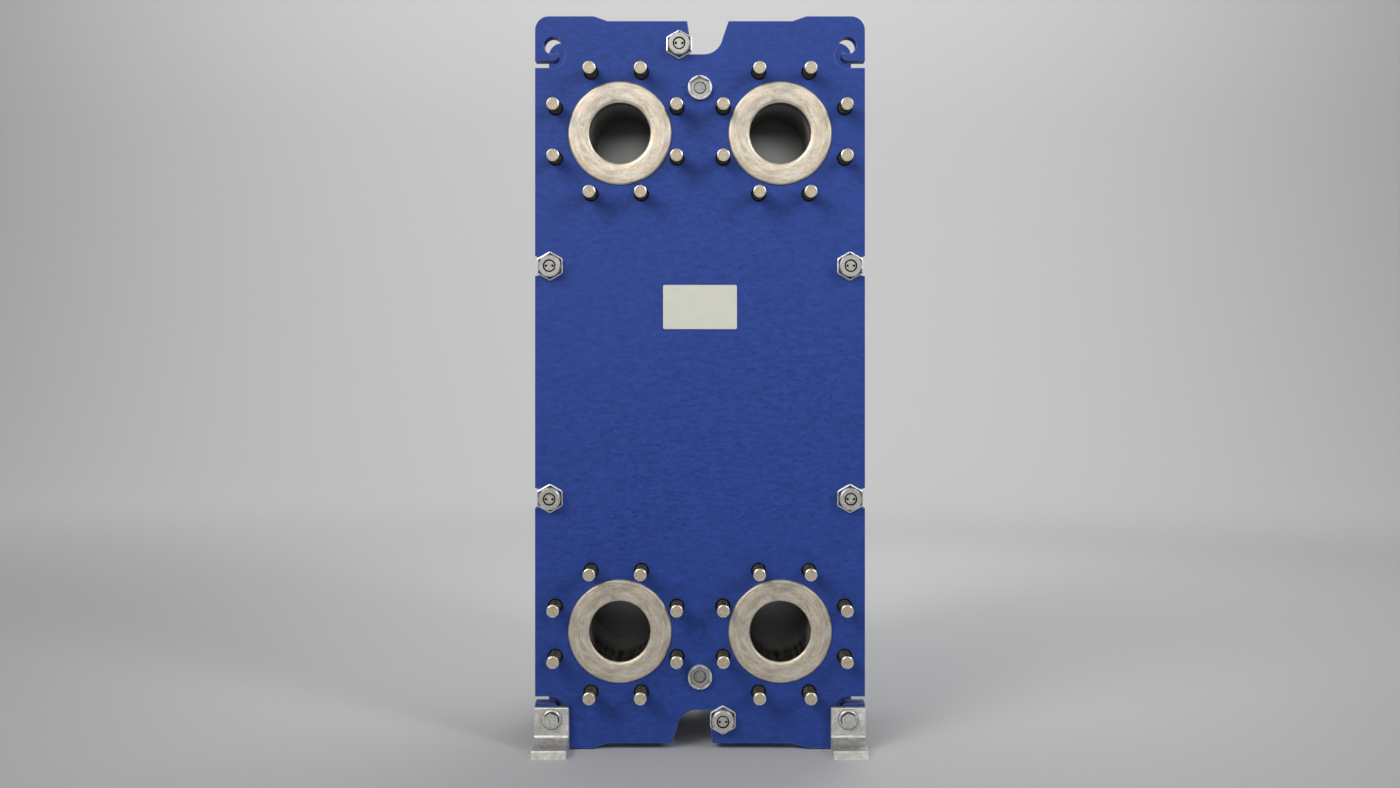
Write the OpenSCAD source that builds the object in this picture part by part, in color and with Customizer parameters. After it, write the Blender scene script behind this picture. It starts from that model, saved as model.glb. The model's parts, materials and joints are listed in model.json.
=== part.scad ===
// Gasketed plate heat exchanger: a pack of channel plates clamped between a fixed
// frame plate and a sliding pressure plate, hung on a carrying bar.
//
// X runs across the plates, Y from the connection side (-Y) to the support column
// (+Y), and Z up from the floor. The origin is at floor level, in the middle of the
// footprint. A depth is a distance along +Y from the frame plate's front face.

/* [Frame plate and pressure plate] */
// Width of both plates
plate_w = 478; // [440:1:580]
// Height of both plates over their ears
plate_h = 1060; // [880:1:1280]
// Thickness of the frame plate
plate_t = 30; // [24:1:45]
// Thickness of the pressure plate
cover_t = 30; // [20:1:45]
// Radius of the plates' outer corners
corner_r = 20; // [5:1:30]
// Length of the raised ears at the plates' corners
ear_len = 85; // [70:1:100]
// Height by which the ears stand over the middle of the edge
ear_step = 7; // [2:1:15]
// Length of the slope from an ear down to the middle of the edge
ear_slope = 20; // [5:1:30]
// Gap between the plates' lower edge and the floor
floor_gap = 2; // [1:0.5:10]

/* [Notches in the top and bottom edge] */
// Depth of a notch below the middle of the edge
notch_depth = 48; // [40:1:55]
// Steep side of the notch, at the edge, from the centre line
notch_steep_top = 18.5; // [14:0.5:20]
// Steep side of the notch, at its floor, from the centre line
notch_steep_floor = 11; // [8:0.5:13]
// Round side of the notch, at the edge, from the centre line
notch_round_top = 41.4; // [36:0.2:50]
// Start of the round side at the notch's floor, from the centre line
notch_round_floor = 5.5; // [2:0.5:8]
// Radius of the notch's round side
notch_r = 27.5; // [20:0.5:30]

/* [Lifting hooks] */
// Radius of a hook's eye
eye_r = 12.5; // [9:0.5:15]
// Centre of the eye, in from the plate's side
eye_in = 25.2; // [24:0.2:32]
// Centre of the eye, in from the ear's edge
eye_down = 42.3; // [38:0.1:48]
// Width of the channel that leads a sling into the eye
hook_gap = 10; // [8:0.5:12]
// Thickness of the tongue between the eye and the channel
tongue_t = 10; // [8:0.5:13]

/* [Ports] */
// Distance between the left and the right port
port_dx = 232; // [220:1:250]
// Distance between the upper and the lower port
port_dz = 721; // [600:1:800]
// Bore of a port through its liner
port_d = 88; // [75:1:95]
// Wall of the liner's sleeve
sleeve_t = 5; // [3:0.5:6]
// Outside diameter of the liner's flange
ring_d = 150; // [130:1:158]
// Height of the liner's flange over the frame plate
ring_t = 4.2; // [3:0.1:6]
// Rounding of the liner's flange at its outer edge
ring_edge = 2.4; // [1:0.1:2.8]

/* [Connection studs] */
// Diameter of the studs' circle
stud_pcd = 190.5; // [184:0.5:196]
// Number of studs round a port
stud_count = 8; // [4:4:8]
// Diameter of a stud
stud_d = 18; // [12:1:18]
// Length of a stud in front of the frame plate
stud_out = 49; // [30:1:90]
// Depth of a stud in the frame plate
stud_in = 20; // [12:1:23]
// Chamfer at a stud's end
stud_chamfer = 1.6; // [0.5:0.1:2.5]
// Amount by which a stud is thinner inside the frame plate, in radius
stud_relief = 0.5; // [0.2:0.1:1]
// Distance by which the studs' circle lies outside its port's centre
stud_shift = 5.3; // [0:0.1:6]

/* [Tightening bolts] */
// Diameter of a tightening bolt
bolt_d = 24; // [16:1:26]
// Bolt's clearance in its slot, on each side
bolt_clear = 1; // [0.5:0.1:2]
// Side bolts' centres, in from the plate's side
bolt_in = 22; // [22:0.2:26]
// Side bolts' distance above and below the plate's centre
side_bolt_dz = 168; // [120:0.2:220]
// Top bolt's distance from the centre line
top_bolt_dx = 30.1; // [26:0.1:32]
// Bottom bolt's distance from the centre line
bottom_bolt_dx = 33.1; // [26:0.1:34]
// Top and bottom bolts' centres, in from the ear's edge
end_bolt_down = 41.6; // [40:0.2:47]
// Width of a side slot at the plate's edge
slot_mouth = 30; // [28:0.5:34]
// Length of the flare at a side slot's mouth
slot_flare = 5; // [2:0.5:8]
// Width across flats of the bolts' nuts
nut_af = 37; // [30:0.5:42]
// Height of a front nut, from the plate to the face of its boss
front_nut_h = 17; // [14:0.5:24]
// Height of a front nut's hexagonal base
front_base_h = 5; // [4:0.5:8]
// Diameter of the boss on a front nut
front_boss_d = 31; // [28:0.2:33]
// Width of the lip round a front nut's base
front_lip_w = 2.2; // [1.5:0.1:2.6]
// Depth of the groove between that lip and the boss
front_groove = 2.5; // [1:0.5:3]
// Chamfer round the face of the boss
front_chamfer = 1; // [0.4:0.2:2]
// Height of a rear nut
rear_nut_h = 20; // [16:1:28]
// Diameter of a rear nut's round face
nut_face_d = 32.5; // [28:0.5:34]
// Diameter of the bolt's turned front end
bolt_tip_d = 15.4; // [10:0.2:16]
// Length of the bolt's turned front end
bolt_tip_l = 6; // [3:0.5:10]
// Gap round the bolt's turned front end
bolt_tip_gap = 1.1; // [0.2:0.1:1.4]
// How far the turned end lies behind the front nut's face
bolt_tip_in = 1.5; // [0:0.5:3]
// Diameter of the two holes in a bolt's front end
tip_hole_d = 3.4; // [2:0.1:4]
// Distance between the two holes
tip_hole_dx = 9.4; // [7:0.1:10]
// Thickness of the washers under the rear nuts
washer_t = 4; // [2:0.5:6]
// Outside diameter of the washers under the rear nuts
washer_d = 44; // [40:0.5:44]
// Length of bolt behind a rear nut
bolt_tail = 130; // [40:1:200]

/* [Channel plates and gaskets] */
// Number of plates in the pack, with the end plate
plates = 65; // [21:2:81]
// Distance from one channel plate to the next
pitch = 3.15; // [2.4:0.05:4.5]
// Thickness of a channel plate's sheet
sheet_t = 0.6; // [0.4:0.1:1]
// Width of a channel plate
pack_w = 396; // [380:1:400]
// Height of a channel plate
pack_h = 910; // [880:1:920]
// Radius of a channel plate's corners
pack_r = 30; // [10:1:40]
// Gasket's distance in from the plate's edge
gasket_in = 5; // [3:0.5:8]
// Width of a gasket
gasket_w = 8; // [5:0.5:10]
// Step from the liner's bore out to the channel plates' port holes
port_step = 3; // [1:0.5:6]

/* [Carrying bar and guide bar] */
// Width of both bars
bar_w = 30; // [20:1:40]
// Height of both bars
bar_h = 50; // [40:1:52]
// Bars' distance above and below the plate's centre
bar_dz = 426; // [400:0.2:430]
// Clearance between a bar and the plates round it
bar_clear = 2; // [1:0.5:4]
// Thickness of the pad that the pressure plate slides on
pad_t = 3; // [2:0.5:5]
// Diameter of the bars' threaded ends
bar_end_d = 16; // [12:1:18]
// Clearance of a threaded end in its hole, in radius
bar_end_clear = 0.5; // [0.3:0.1:1]
// Diameter of the round socket nuts on the bars' front ends
socket_nut_d = 35; // [34:0.5:40]
// Height of a socket nut in front of the frame plate
socket_nut_h = 8; // [6:0.5:12]
// Width across flats of a socket nut's hexagonal socket
socket_af = 28.4; // [26:0.2:29]
// Depth of the socket
socket_depth = 6; // [3:0.5:6]
// Diameter of a socket nut's sleeve, inside the frame plate
socket_sleeve_d = 24; // [22:0.5:28]
// Length of the sleeve
socket_sleeve_l = 20; // [10:1:26]
// Width and depth of the ring-shaped recess round a bar's front end
socket_ring = 1; // [0.5:0.1:1.5]
// Turn of the sockets, in degrees
socket_turn = 5; // [-30:1:30]
// Width across flats of the flange nuts on the bars' rear ends
flange_nut_af = 25; // [22:0.5:27]
// Diameter of the flange of a flange nut
flange_nut_d = 36.5; // [32:0.5:40]
// Height of a flange nut
flange_nut_h = 17; // [14:1:22]
// Length of thread that stands out of a flange nut
bar_end_out = 1.5; // [0:0.5:6]

/* [Support column] */
// Free length of the bars behind the pressure plate
opening = 298; // [230:1:500]
// Width of the column
column_w = 100; // [80:1:140]
// Depth of the column's flanges
column_d = 50; // [40:1:80]
// Wall of the column
column_t = 8; // [5:0.5:12]
// Height of the column over the carrying bar's centre
column_over = 49; // [35:1:80]
// Width of the base plate
base_w = 210; // [200:1:300]
// Depth of the base plate
base_d = 120; // [100:1:160]
// Thickness of the base plate
base_t = 12; // [8:1:20]
// Distance between the base plate's two anchor slots
base_slot_dx = 158; // [140:1:160]

/* [Feet and anchor slots] */
// Width of a foot
foot_w = 50; // [50:1:60]
// Thickness of a foot
foot_t = 12; // [8:0.5:14]
// Height of a foot's upright leg
foot_h = 63; // [59:1:70]
// Reach of a foot in front of the frame plate
foot_reach = 60; // [55:1:80]
// Radius in the foot's inner bend
foot_bend_r = 11; // [4:0.5:12]
// Length of an anchor slot
anchor_l = 28; // [20:1:34]
// Width of an anchor slot
anchor_w = 14; // [10:1:16]
// Anchor slot's distance in front of the frame plate
anchor_out = 37; // [34:1:45]
// Diameter of a foot bolt
foot_bolt_d = 12; // [10:1:14]
// Width across flats of a foot bolt's head and nut
foot_bolt_af = 20; // [17:0.5:21]
// Height of a foot bolt's head and nut
foot_bolt_h = 9; // [6:0.5:12]
// Diameter of the flange under a foot bolt's head
foot_flange_d = 30; // [24:0.5:30]
// Thickness of the flange under a foot bolt's head
foot_flange_t = 2.5; // [1.5:0.5:4]
// Height of a foot bolt over the middle of its eye
foot_bolt_up = 2; // [0:0.5:4]
// Turn of a foot bolt's head, in degrees
foot_head_turn = 7; // [0:1:30]
// Diameter of the washer behind the frame plate
foot_washer_d = 36; // [32:0.5:40]

/* [Name plate] */
// Width of the name plate
name_w = 107; // [60:1:120]
// Height of the name plate
name_h = 64; // [40:1:80]
// Thickness of the name plate
name_t = 1.5; // [0.8:0.1:3]
// Radius of the name plate's corners
name_r = 2.5; // [1:0.5:8]
// Height of the name plate's centre over the plate's centre
name_up = 108.7; // [90:0.1:130]

/* [Hidden] */
$fn = 64;

// Colours
paint_blue = [0.10, 0.18, 0.52];
liner_cream = [0.80, 0.75, 0.66];
zinc_yellow = [0.62, 0.58, 0.44];
zinc_bright = [0.78, 0.77, 0.74];
galvanised = [0.62, 0.61, 0.58];
stainless = [0.66, 0.67, 0.68];
gasket_black = [0.05, 0.05, 0.05];
pad_bronze = [0.60, 0.45, 0.22];
name_cream = [0.80, 0.80, 0.74];

// Depths along Y, from the frame plate's front face
pack_len = (plates - 1) * pitch + sheet_t;
pack_from = plate_t;
cover_from = pack_from + pack_len;
end_plate_from = cover_from - sheet_t;
cover_to = cover_from + cover_t;
column_from = cover_to + opening;
base_from = column_from + (column_d - base_d) / 2;
base_to = base_from + base_d;
bolt_to = cover_to + washer_t + rear_nut_h + bolt_tail;

// Y of the frame plate's front face, with the footprint centred on the origin
front_y = foot_reach - (foot_reach + base_to) / 2;

// Heights and distances across
mid_z = floor_gap + plate_h / 2;
half_w = plate_w / 2;
half_h = plate_h / 2;
edge_h = half_h - ear_step;
port_r = port_d / 2;
sleeve_r = port_r + sleeve_t;
stud_root_r = stud_d / 2 - stud_relief;
slot_r = bolt_d / 2 + bolt_clear;
tip_from = bolt_tip_in - front_nut_h;
hook_mid_down = eye_down + (eye_r + tongue_t + hook_gap / 2) / 2;
hook_out_r = (eye_r + tongue_t + hook_gap / 2) / 2 + hook_gap / 2;
bar_end_hole_r = bar_end_d / 2 + bar_end_clear;
foot_mid_x = half_w - foot_w / 2;
eye_x = half_w - eye_in;
eye_z = floor_gap + eye_down;
foot_bolt_z = eye_z + foot_bolt_up;
column_h = mid_z + bar_dz + column_over;

// Places of the tightening bolts: [x, z] from the plate's centre
top_bolt = [-top_bolt_dx, half_h - end_bolt_down];
bottom_bolt = [bottom_bolt_dx, end_bolt_down - half_h];
side_bolt_x = half_w - bolt_in;
side_bolts = [for (sx = [-1, 1]) for (sz = [-1, 1]) [sx * side_bolt_x, sz * side_bolt_dz]];
all_bolts = concat([top_bolt, bottom_bolt], side_bolts);

// A cut's overshoot past the face that it opens
over = 1;
// Slope of the chamfer round a nut's face, in degrees
nut_chamfer = 30;
// Round face of a small nut or bolt head, as a share of its width across flats
nut_face_share = 0.94;
// Distance of the notch's straight side from the middle of its round one, as a share of the radius
notch_blend = 0.985;

// ---- helpers -------------------------------------------------------------

// Extrudes an outline, drawn in X and Z from the plate's centre, between two depths
module slab(from, to) {
    translate([0, front_y + to, mid_z])
        rotate([90, 0, 0])
            linear_extrude(to - from)
                children();
}

// Round rod along Y
module rod(at, from, to, r) {
    slab(from, to)
        translate(at)
            circle(r);
}

// Places a shape whose +Z is to point forward, towards -Y
module facing_front(at, depth) {
    translate([at[0], front_y + depth, mid_z + at[1]])
        rotate([90, 0, 0])
            children();
}

// Places a shape whose +Z is to point to the rear, towards +Y
module facing_rear(at, depth) {
    translate([at[0], front_y + depth, mid_z + at[1]])
        rotate([-90, 0, 0])
            children();
}

// Hexagon with its points up and down
module hexagon(af) {
    rotate(30)
        circle(af / sqrt(3), $fn = 6);
}

// What a rounded corner takes off: the corner is at the origin, the material in +X +Y
module corner_waste(r) {
    difference() {
        translate([-over, -over])
            square(r + over);
        translate([r, r])
            circle(r);
        translate([r, -over])
            square([over, r + over]);
    }
}

// Rectangle about the origin with round corners
module round_rect(w, h, r) {
    difference() {
        square([w, h], center = true);
        for (sx = [0, 1], sz = [0, 1])
            mirror([sx, 0])
                mirror([0, sz])
                    translate([-w / 2, -h / 2])
                        corner_waste(r);
    }
}

// Slot with round ends, along X
module long_hole(l, w) {
    for (s = [-1, 1])
        translate([s * (l - w) / 2, 0])
            circle(w / 2);
    square([l - w, w], center = true);
}

// Nut with a conical chamfer round its face, which is at the top; a bolt's head has no bore
module hex_nut(af, h, face_d, bore_r) {
    corner = af / sqrt(3);
    drop = (corner + over - face_d / 2) * tan(nut_chamfer);
    difference() {
        intersection() {
            linear_extrude(h)
                hexagon(af);
            rotate_extrude()
                polygon([
                    [0, -over], [corner + over, -over], [corner + over, h - drop],
                    [face_d / 2, h], [0, h]
                ]);
        }
        if (bore_r > 0)
            translate([0, 0, -over])
                cylinder(h = h + 2 * over, r = bore_r);
    }
}

// ---- frame plate and pressure plate -----------------------------------------

// Notch in an edge, drawn down from the middle of that edge at the origin
module edge_notch() {
    centre = [notch_round_floor, notch_r - notch_depth];
    to_corner = [notch_round_top, 0] - centre;
    // the straight part runs just inside the round one's edge, so that the two cross
    inside = notch_blend * notch_r;
    turn = atan2(to_corner[1], to_corner[0]) - acos(inside / norm(to_corner));
    polygon([
        [-notch_steep_top, 0], [-notch_steep_floor, -notch_depth],
        [notch_round_floor, -notch_depth], centre, centre + inside * [cos(turn), sin(turn)],
        [notch_round_top, 0], [notch_round_top, over], [-notch_steep_top, over]
    ]);
    intersection() {
        translate(centre)
            circle(notch_r);
        translate([notch_round_floor, -notch_depth - over])
            square([notch_r + over, 2 * (notch_r + over)]);
    }
}

// What lies over the middle of the top edge, between its two ears
module ear_waste() {
    reach = half_w - ear_len;
    polygon([
        [-reach, half_h + over], [-reach, half_h], [ear_slope - reach, edge_h],
        [reach - ear_slope, edge_h], [reach, half_h], [reach, half_h + over]
    ]);
}

// Slot from a side bolt out to the plate's edge
module side_slot(at) {
    s = sign(at[0]);
    translate(at)
        circle(slot_r);
    translate([s > 0 ? at[0] : -half_w - over, at[1] - slot_r])
        square([bolt_in + over, 2 * slot_r]);
    polygon([
        [s * (half_w - slot_flare), at[1] - slot_r], [s * (half_w + over), at[1] - slot_mouth / 2],
        [s * (half_w + over), at[1] + slot_mouth / 2], [s * (half_w - slot_flare), at[1] + slot_r]
    ]);
}

// Slot from the top bolt into the notch beside it, down to the notch's floor
module end_slot(at) {
    translate(at)
        circle(slot_r);
    translate([at[0], edge_h - notch_depth])
        square([-at[0], at[1] + slot_r - edge_h + notch_depth]);
}

// Outline that both plates share; the bottom is the top turned half round
module plate_outline() {
    difference() {
        round_rect(plate_w, plate_h, corner_r);
        for (turn = [0, 180])
            rotate(turn) {
                ear_waste();
                translate([0, edge_h])
                    edge_notch();
                end_slot(turn == 0 ? top_bolt : -bottom_bolt);
            }
        for (at = side_bolts)
            side_slot(at);
    }
}

// Eye, channel and side opening of one lifting hook, at the upper right corner
module hook_cut() {
    translate([eye_x, half_h - eye_down])
        circle(eye_r);
    // the channel curves from the side opening up into the eye's inner side
    intersection() {
        translate([eye_x, half_h - hook_mid_down])
            difference() {
                circle(hook_out_r);
                circle(hook_out_r - hook_gap);
            }
        translate([eye_x - hook_out_r - over, half_h - hook_mid_down - hook_out_r - over])
            square([hook_out_r + over, 2 * (hook_out_r + over)]);
    }
    translate([eye_x, half_h - hook_mid_down - hook_out_r])
        square([eye_in + over, hook_gap]);
}

module frame_plate() {
    color(paint_blue)
        difference() {
            slab(0, plate_t)
                difference() {
                    plate_outline();
                    for (sx = [0, 1], sz = [0, 1])
                        mirror([sx, 0])
                            mirror([0, sz])
                                hook_cut();
                    for (sx = [-1, 1], sz = [-1, 1])
                        translate(port_at(sx, sz))
                            circle(sleeve_r);
                    for (sz = [-1, 1])
                        translate([0, sz * bar_dz])
                            circle(socket_sleeve_d / 2 + bar_end_clear);
                }
            for (sx = [-1, 1], sz = [-1, 1])
                for (at = stud_places(sx, sz))
                    rod(at, -over, stud_in, stud_root_r);
        }
}

module pressure_plate() {
    color(paint_blue)
        slab(cover_from, cover_to)
            difference() {
                plate_outline();
                translate([0, bar_dz])
                    bar_window(pad_t);
                translate([0, -bar_dz])
                    bar_window(bar_clear);
            }
}

// Window for a bar, with its own clearance above the bar
module bar_window(above) {
    translate([-bar_w / 2 - bar_clear, -bar_h / 2 - bar_clear])
        square([bar_w + 2 * bar_clear, bar_h + bar_clear + above]);
}

// ---- channel plates and gaskets ---------------------------------------------

// Outline of a channel plate, set in all round; the bars pass in two open recesses
module pack_outline(inset) {
    recess_w = bar_w + 2 * (bar_clear + inset);
    recess_from = bar_dz - bar_h / 2 - bar_clear - inset;
    difference() {
        round_rect(pack_w - 2 * inset, pack_h - 2 * inset, pack_r - inset);
        for (turn = [0, 180])
            rotate(turn)
                translate([-recess_w / 2, recess_from])
                    square([recess_w, pack_h / 2 - recess_from + over]);
    }
}

module pack_ports() {
    for (sx = [-1, 1], sz = [-1, 1])
        translate(port_at(sx, sz))
            circle(port_r + port_step);
}

// The pressed fields touch crest to crest, so inside the gaskets they are one mass,
// and each sheet stands out of it as its own rim
module channel_plates() {
    color(stainless) {
        slab(pack_from, end_plate_from)
            difference() {
                pack_outline(gasket_in + gasket_w);
                pack_ports();
            }
        for (i = [0 : plates - 2])
            slab(pack_from + i * pitch, pack_from + i * pitch + sheet_t)
                difference() {
                    pack_outline(0);
                    pack_ports();
                }
    }
}

// The last plate has no ports, so the four port channels end at it
module end_plate() {
    color(stainless)
        slab(end_plate_from, cover_from)
            pack_outline(0);
}

module plate_gaskets() {
    color(gasket_black)
        for (i = [0 : plates - 2])
            slab(pack_from + i * pitch + sheet_t, pack_from + (i + 1) * pitch)
                difference() {
                    pack_outline(gasket_in);
                    pack_outline(gasket_in + gasket_w);
                }
}

// ---- ports ------------------------------------------------------------------

function port_at(sx, sz) = [sx * port_dx / 2, sz * port_dz / 2];

function stud_places(sx, sz) = [
    for (i = [0 : stud_count - 1])
        let (turn = (i + 0.5) * 360 / stud_count)
            port_at(sx, sz) + [sx * stud_shift, 0] + stud_pcd / 2 * [cos(turn), sin(turn)]
];

// Sleeve through the frame plate with a low crowned flange on its face
module port_liner(sx, sz) {
    ring_r = ring_d / 2;
    lip = 1.5;
    color(liner_cream)
        facing_front(port_at(sx, sz), 0)
            rotate_extrude($fn = 96)
                polygon([
                    [port_r, -plate_t], [sleeve_r, -plate_t], [sleeve_r, 0], [ring_r, 0],
                    [ring_r, ring_t - ring_edge], [ring_r - ring_edge / 3, ring_t - ring_edge / 3],
                    [ring_r - ring_edge, ring_t], [port_r + lip, ring_t], [port_r, ring_t - lip]
                ]);
}

module port_studs(sx, sz) {
    color(zinc_yellow)
        for (at = stud_places(sx, sz))
            facing_front(at, stud_in)
                rotate_extrude()
                    polygon([
                        [0, 0], [stud_root_r, 0], [stud_root_r, stud_in],
                        [stud_d / 2, stud_in], [stud_d / 2, stud_in + stud_out - stud_chamfer],
                        [stud_d / 2 - stud_chamfer, stud_in + stud_out], [0, stud_in + stud_out]
                    ]);
}

// ---- tightening bolts ---------------------------------------------------------

// Threaded rod with a thinner turned end, a little behind the front nut's face
module tightening_bolt(at) {
    color(zinc_bright)
        difference() {
            union() {
                rod(at, tip_from + bolt_tip_l, bolt_to, bolt_d / 2);
                rod(at, tip_from, tip_from + bolt_tip_l, bolt_tip_d / 2);
            }
            for (s = [-1, 1]) {
                hole_at = at + [s * tip_hole_dx / 2, 0];
                rod(hole_at, tip_from - over, tip_from + bolt_tip_l / 2, tip_hole_d / 2);
            }
        }
}

// Nut with a round boss on a thin hexagonal base, whose lip stands up round a groove
module bossed_nut() {
    boss_r = front_boss_d / 2;
    linear_extrude(front_base_h - front_groove)
        hexagon(nut_af);
    difference() {
        linear_extrude(front_base_h)
            hexagon(nut_af);
        translate([0, 0, -over])
            linear_extrude(front_base_h + 2 * over)
                hexagon(nut_af - 2 * front_lip_w);
    }
    rotate_extrude()
        polygon([
            [0, 0], [boss_r, 0], [boss_r, front_nut_h - front_chamfer],
            [boss_r - front_chamfer, front_nut_h], [0, front_nut_h]
        ]);
}

module front_nuts() {
    color(zinc_bright)
        for (at = all_bolts)
            difference() {
                facing_front(at, 0)
                    bossed_nut();
                rod(at, -front_nut_h - over, tip_from + bolt_tip_l + over, bolt_tip_d / 2 + bolt_tip_gap);
                rod(at, tip_from + bolt_tip_l, over, bolt_d / 2);
            }
}

module rear_washers() {
    color(zinc_bright)
        for (at = all_bolts)
            slab(cover_to, cover_to + washer_t)
                translate(at)
                    difference() {
                        circle(washer_d / 2);
                        circle(bolt_d / 2 + bolt_clear / 2);
                    }
}

module rear_nuts() {
    color(zinc_bright)
        for (at = all_bolts)
            facing_rear(at, cover_to + washer_t)
                hex_nut(nut_af, rear_nut_h, nut_face_d, bolt_d / 2);
}

// ---- bars and column ----------------------------------------------------------

// Flat bar with a threaded end through the frame plate and one through the column
module bar(z) {
    slab(plate_t, column_from)
        translate([0, z])
            square([bar_w, bar_h], center = true);
    rod([0, z], socket_depth - socket_nut_h, plate_t, bar_end_d / 2);
    rod([0, z], column_from, column_from + column_t + flange_nut_h + bar_end_out, bar_end_d / 2);
}

module carrying_bar() {
    color(galvanised)
        bar(bar_dz);
}

module guide_bar() {
    color(galvanised)
        bar(-bar_dz);
}

// Nut with a round flange under its hexagon
module flange_nut() {
    flange_h = 4;
    hex_nut(flange_nut_af, flange_nut_h, nut_face_share * flange_nut_af, bar_end_d / 2);
    difference() {
        rotate_extrude()
            polygon([
                [bar_end_d / 2, 0], [flange_nut_d / 2, 0], [flange_nut_d / 2, flange_h / 3],
                [flange_nut_af / 2, flange_h], [bar_end_d / 2, flange_h]
            ]);
        translate([0, 0, -over])
            cylinder(h = flange_h + 2 * over, r = bar_end_d / 2);
    }
}

// Round nut with a hexagonal socket in its face and a sleeve that goes into the frame plate
module socket_nut() {
    floor_h = socket_nut_h - socket_depth;
    difference() {
        union() {
            translate([0, 0, -socket_sleeve_l])
                cylinder(h = socket_sleeve_l + floor_h, r = socket_sleeve_d / 2);
            cylinder(h = socket_nut_h, r = socket_nut_d / 2);
        }
        translate([0, 0, floor_h])
            linear_extrude(socket_depth + over)
                rotate(socket_turn)
                    hexagon(socket_af);
        translate([0, 0, -socket_sleeve_l - over])
            cylinder(h = socket_sleeve_l + socket_nut_h + 2 * over, r = bar_end_d / 2);
        translate([0, 0, floor_h - socket_ring])
            cylinder(h = socket_nut_h, r = bar_end_d / 2 + socket_ring);
    }
}

module front_bar_nuts() {
    color(zinc_bright)
        for (s = [-1, 1])
            facing_front([0, s * bar_dz], 0)
                socket_nut();
}

module rear_bar_nuts() {
    color(zinc_bright)
        for (s = [-1, 1])
            facing_rear([0, s * bar_dz], column_from + column_t)
                flange_nut();
}

// Pad between the carrying bar and the window that the pressure plate hangs by
module slide_pad() {
    color(pad_bronze)
        slab(cover_from, cover_to)
            translate([-bar_w / 2, bar_dz + bar_h / 2])
                square([bar_w, pad_t]);
}

// Channel section, open to the rear, standing on its base plate
module support_column() {
    color(paint_blue)
        difference() {
            translate([-column_w / 2, front_y + column_from, base_t])
                difference() {
                    cube([column_w, column_d, column_h - base_t]);
                    translate([column_t, column_t, -over])
                        cube([column_w - 2 * column_t, column_d, column_h - base_t + 2 * over]);
                }
            for (s = [-1, 1])
                rod([0, s * bar_dz], column_from - over, column_from + column_t + over, bar_end_hole_r);
        }
}

module column_base() {
    color(paint_blue)
        translate([0, front_y + base_from + base_d / 2, 0])
            linear_extrude(base_t)
                difference() {
                    square([base_w, base_d], center = true);
                    for (s = [-1, 1])
                        translate([s * base_slot_dx / 2, 0])
                            long_hole(anchor_l, anchor_w);
                }
}

// ---- feet ---------------------------------------------------------------------

// Angle with its back on the frame plate and its toe to the front
module foot(s) {
    color(galvanised)
        difference() {
            translate([s * foot_mid_x - foot_w / 2, front_y, 0])
                rotate([90, 0, 90])
                    linear_extrude(foot_w) {
                        translate([-foot_reach, 0])
                            square([foot_reach, foot_t]);
                        translate([-foot_t, 0])
                            square([foot_t, foot_h]);
                        translate([-foot_t - foot_bend_r, foot_t])
                            difference() {
                                square(foot_bend_r);
                                translate([0, foot_bend_r])
                                    circle(foot_bend_r);
                            }
                    }
            translate([s * foot_mid_x, front_y - anchor_out, -over])
                linear_extrude(foot_t + 2 * over)
                    long_hole(anchor_l, anchor_w);
            rod([s * eye_x, foot_bolt_z - mid_z], -foot_t - over, over, foot_bolt_d / 2 + bolt_clear / 2);
        }
}

// Flanged bolt through the foot and the lower hook's eye
module foot_bolts() {
    color(zinc_bright)
        for (s = [-1, 1]) {
            at = [s * eye_x, foot_bolt_z - mid_z];
            head_from = -foot_t - foot_flange_t;
            rod(at, -foot_t, plate_t + washer_t + foot_bolt_h + over, foot_bolt_d / 2);
            rod(at, head_from, -foot_t, foot_flange_d / 2);
            facing_front(at, head_from)
                rotate(foot_head_turn)
                    hex_nut(foot_bolt_af, foot_bolt_h, nut_face_share * foot_bolt_af, 0);
        }
}

module foot_washers() {
    color(zinc_bright)
        for (s = [-1, 1])
            slab(plate_t, plate_t + washer_t)
                translate([s * eye_x, foot_bolt_z - mid_z])
                    difference() {
                        circle(foot_washer_d / 2);
                        circle(foot_bolt_d / 2 + bolt_clear / 2);
                    }
}

module foot_nuts() {
    color(zinc_bright)
        for (s = [-1, 1])
            facing_rear([s * eye_x, foot_bolt_z - mid_z], plate_t + washer_t)
                hex_nut(foot_bolt_af, foot_bolt_h, nut_face_share * foot_bolt_af, foot_bolt_d / 2);
}

// ---- name plate ---------------------------------------------------------------

module name_plate() {
    color(name_cream)
        slab(-name_t, 0)
            translate([0, name_up])
                round_rect(name_w, name_h, name_r);
}

// ---- assembly -----------------------------------------------------------------

frame_plate();
pressure_plate();
carrying_bar();
guide_bar();
support_column();
column_base();
channel_plates();
end_plate();
plate_gaskets();
port_liner(-1, 1);  // port_liner_upper_left
port_liner(1, 1);  // port_liner_upper_right
port_liner(-1, -1);  // port_liner_lower_left
port_liner(1, -1);  // port_liner_lower_right
port_studs(-1, 1);  // port_studs_upper_left
port_studs(1, 1);  // port_studs_upper_right
port_studs(-1, -1);  // port_studs_lower_left
port_studs(1, -1);  // port_studs_lower_right
tightening_bolt(top_bolt);  // tightening_bolt_top
tightening_bolt(bottom_bolt);  // tightening_bolt_bottom
tightening_bolt([-side_bolt_x, side_bolt_dz]);  // tightening_bolt_left_upper
tightening_bolt([-side_bolt_x, -side_bolt_dz]);  // tightening_bolt_left_lower
tightening_bolt([side_bolt_x, side_bolt_dz]);  // tightening_bolt_right_upper
tightening_bolt([side_bolt_x, -side_bolt_dz]);  // tightening_bolt_right_lower
front_nuts();
rear_nuts();
rear_washers();
front_bar_nuts();
rear_bar_nuts();
slide_pad();
foot(-1);  // foot_left
foot(1);  // foot_right
foot_bolts();
foot_washers();
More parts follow.
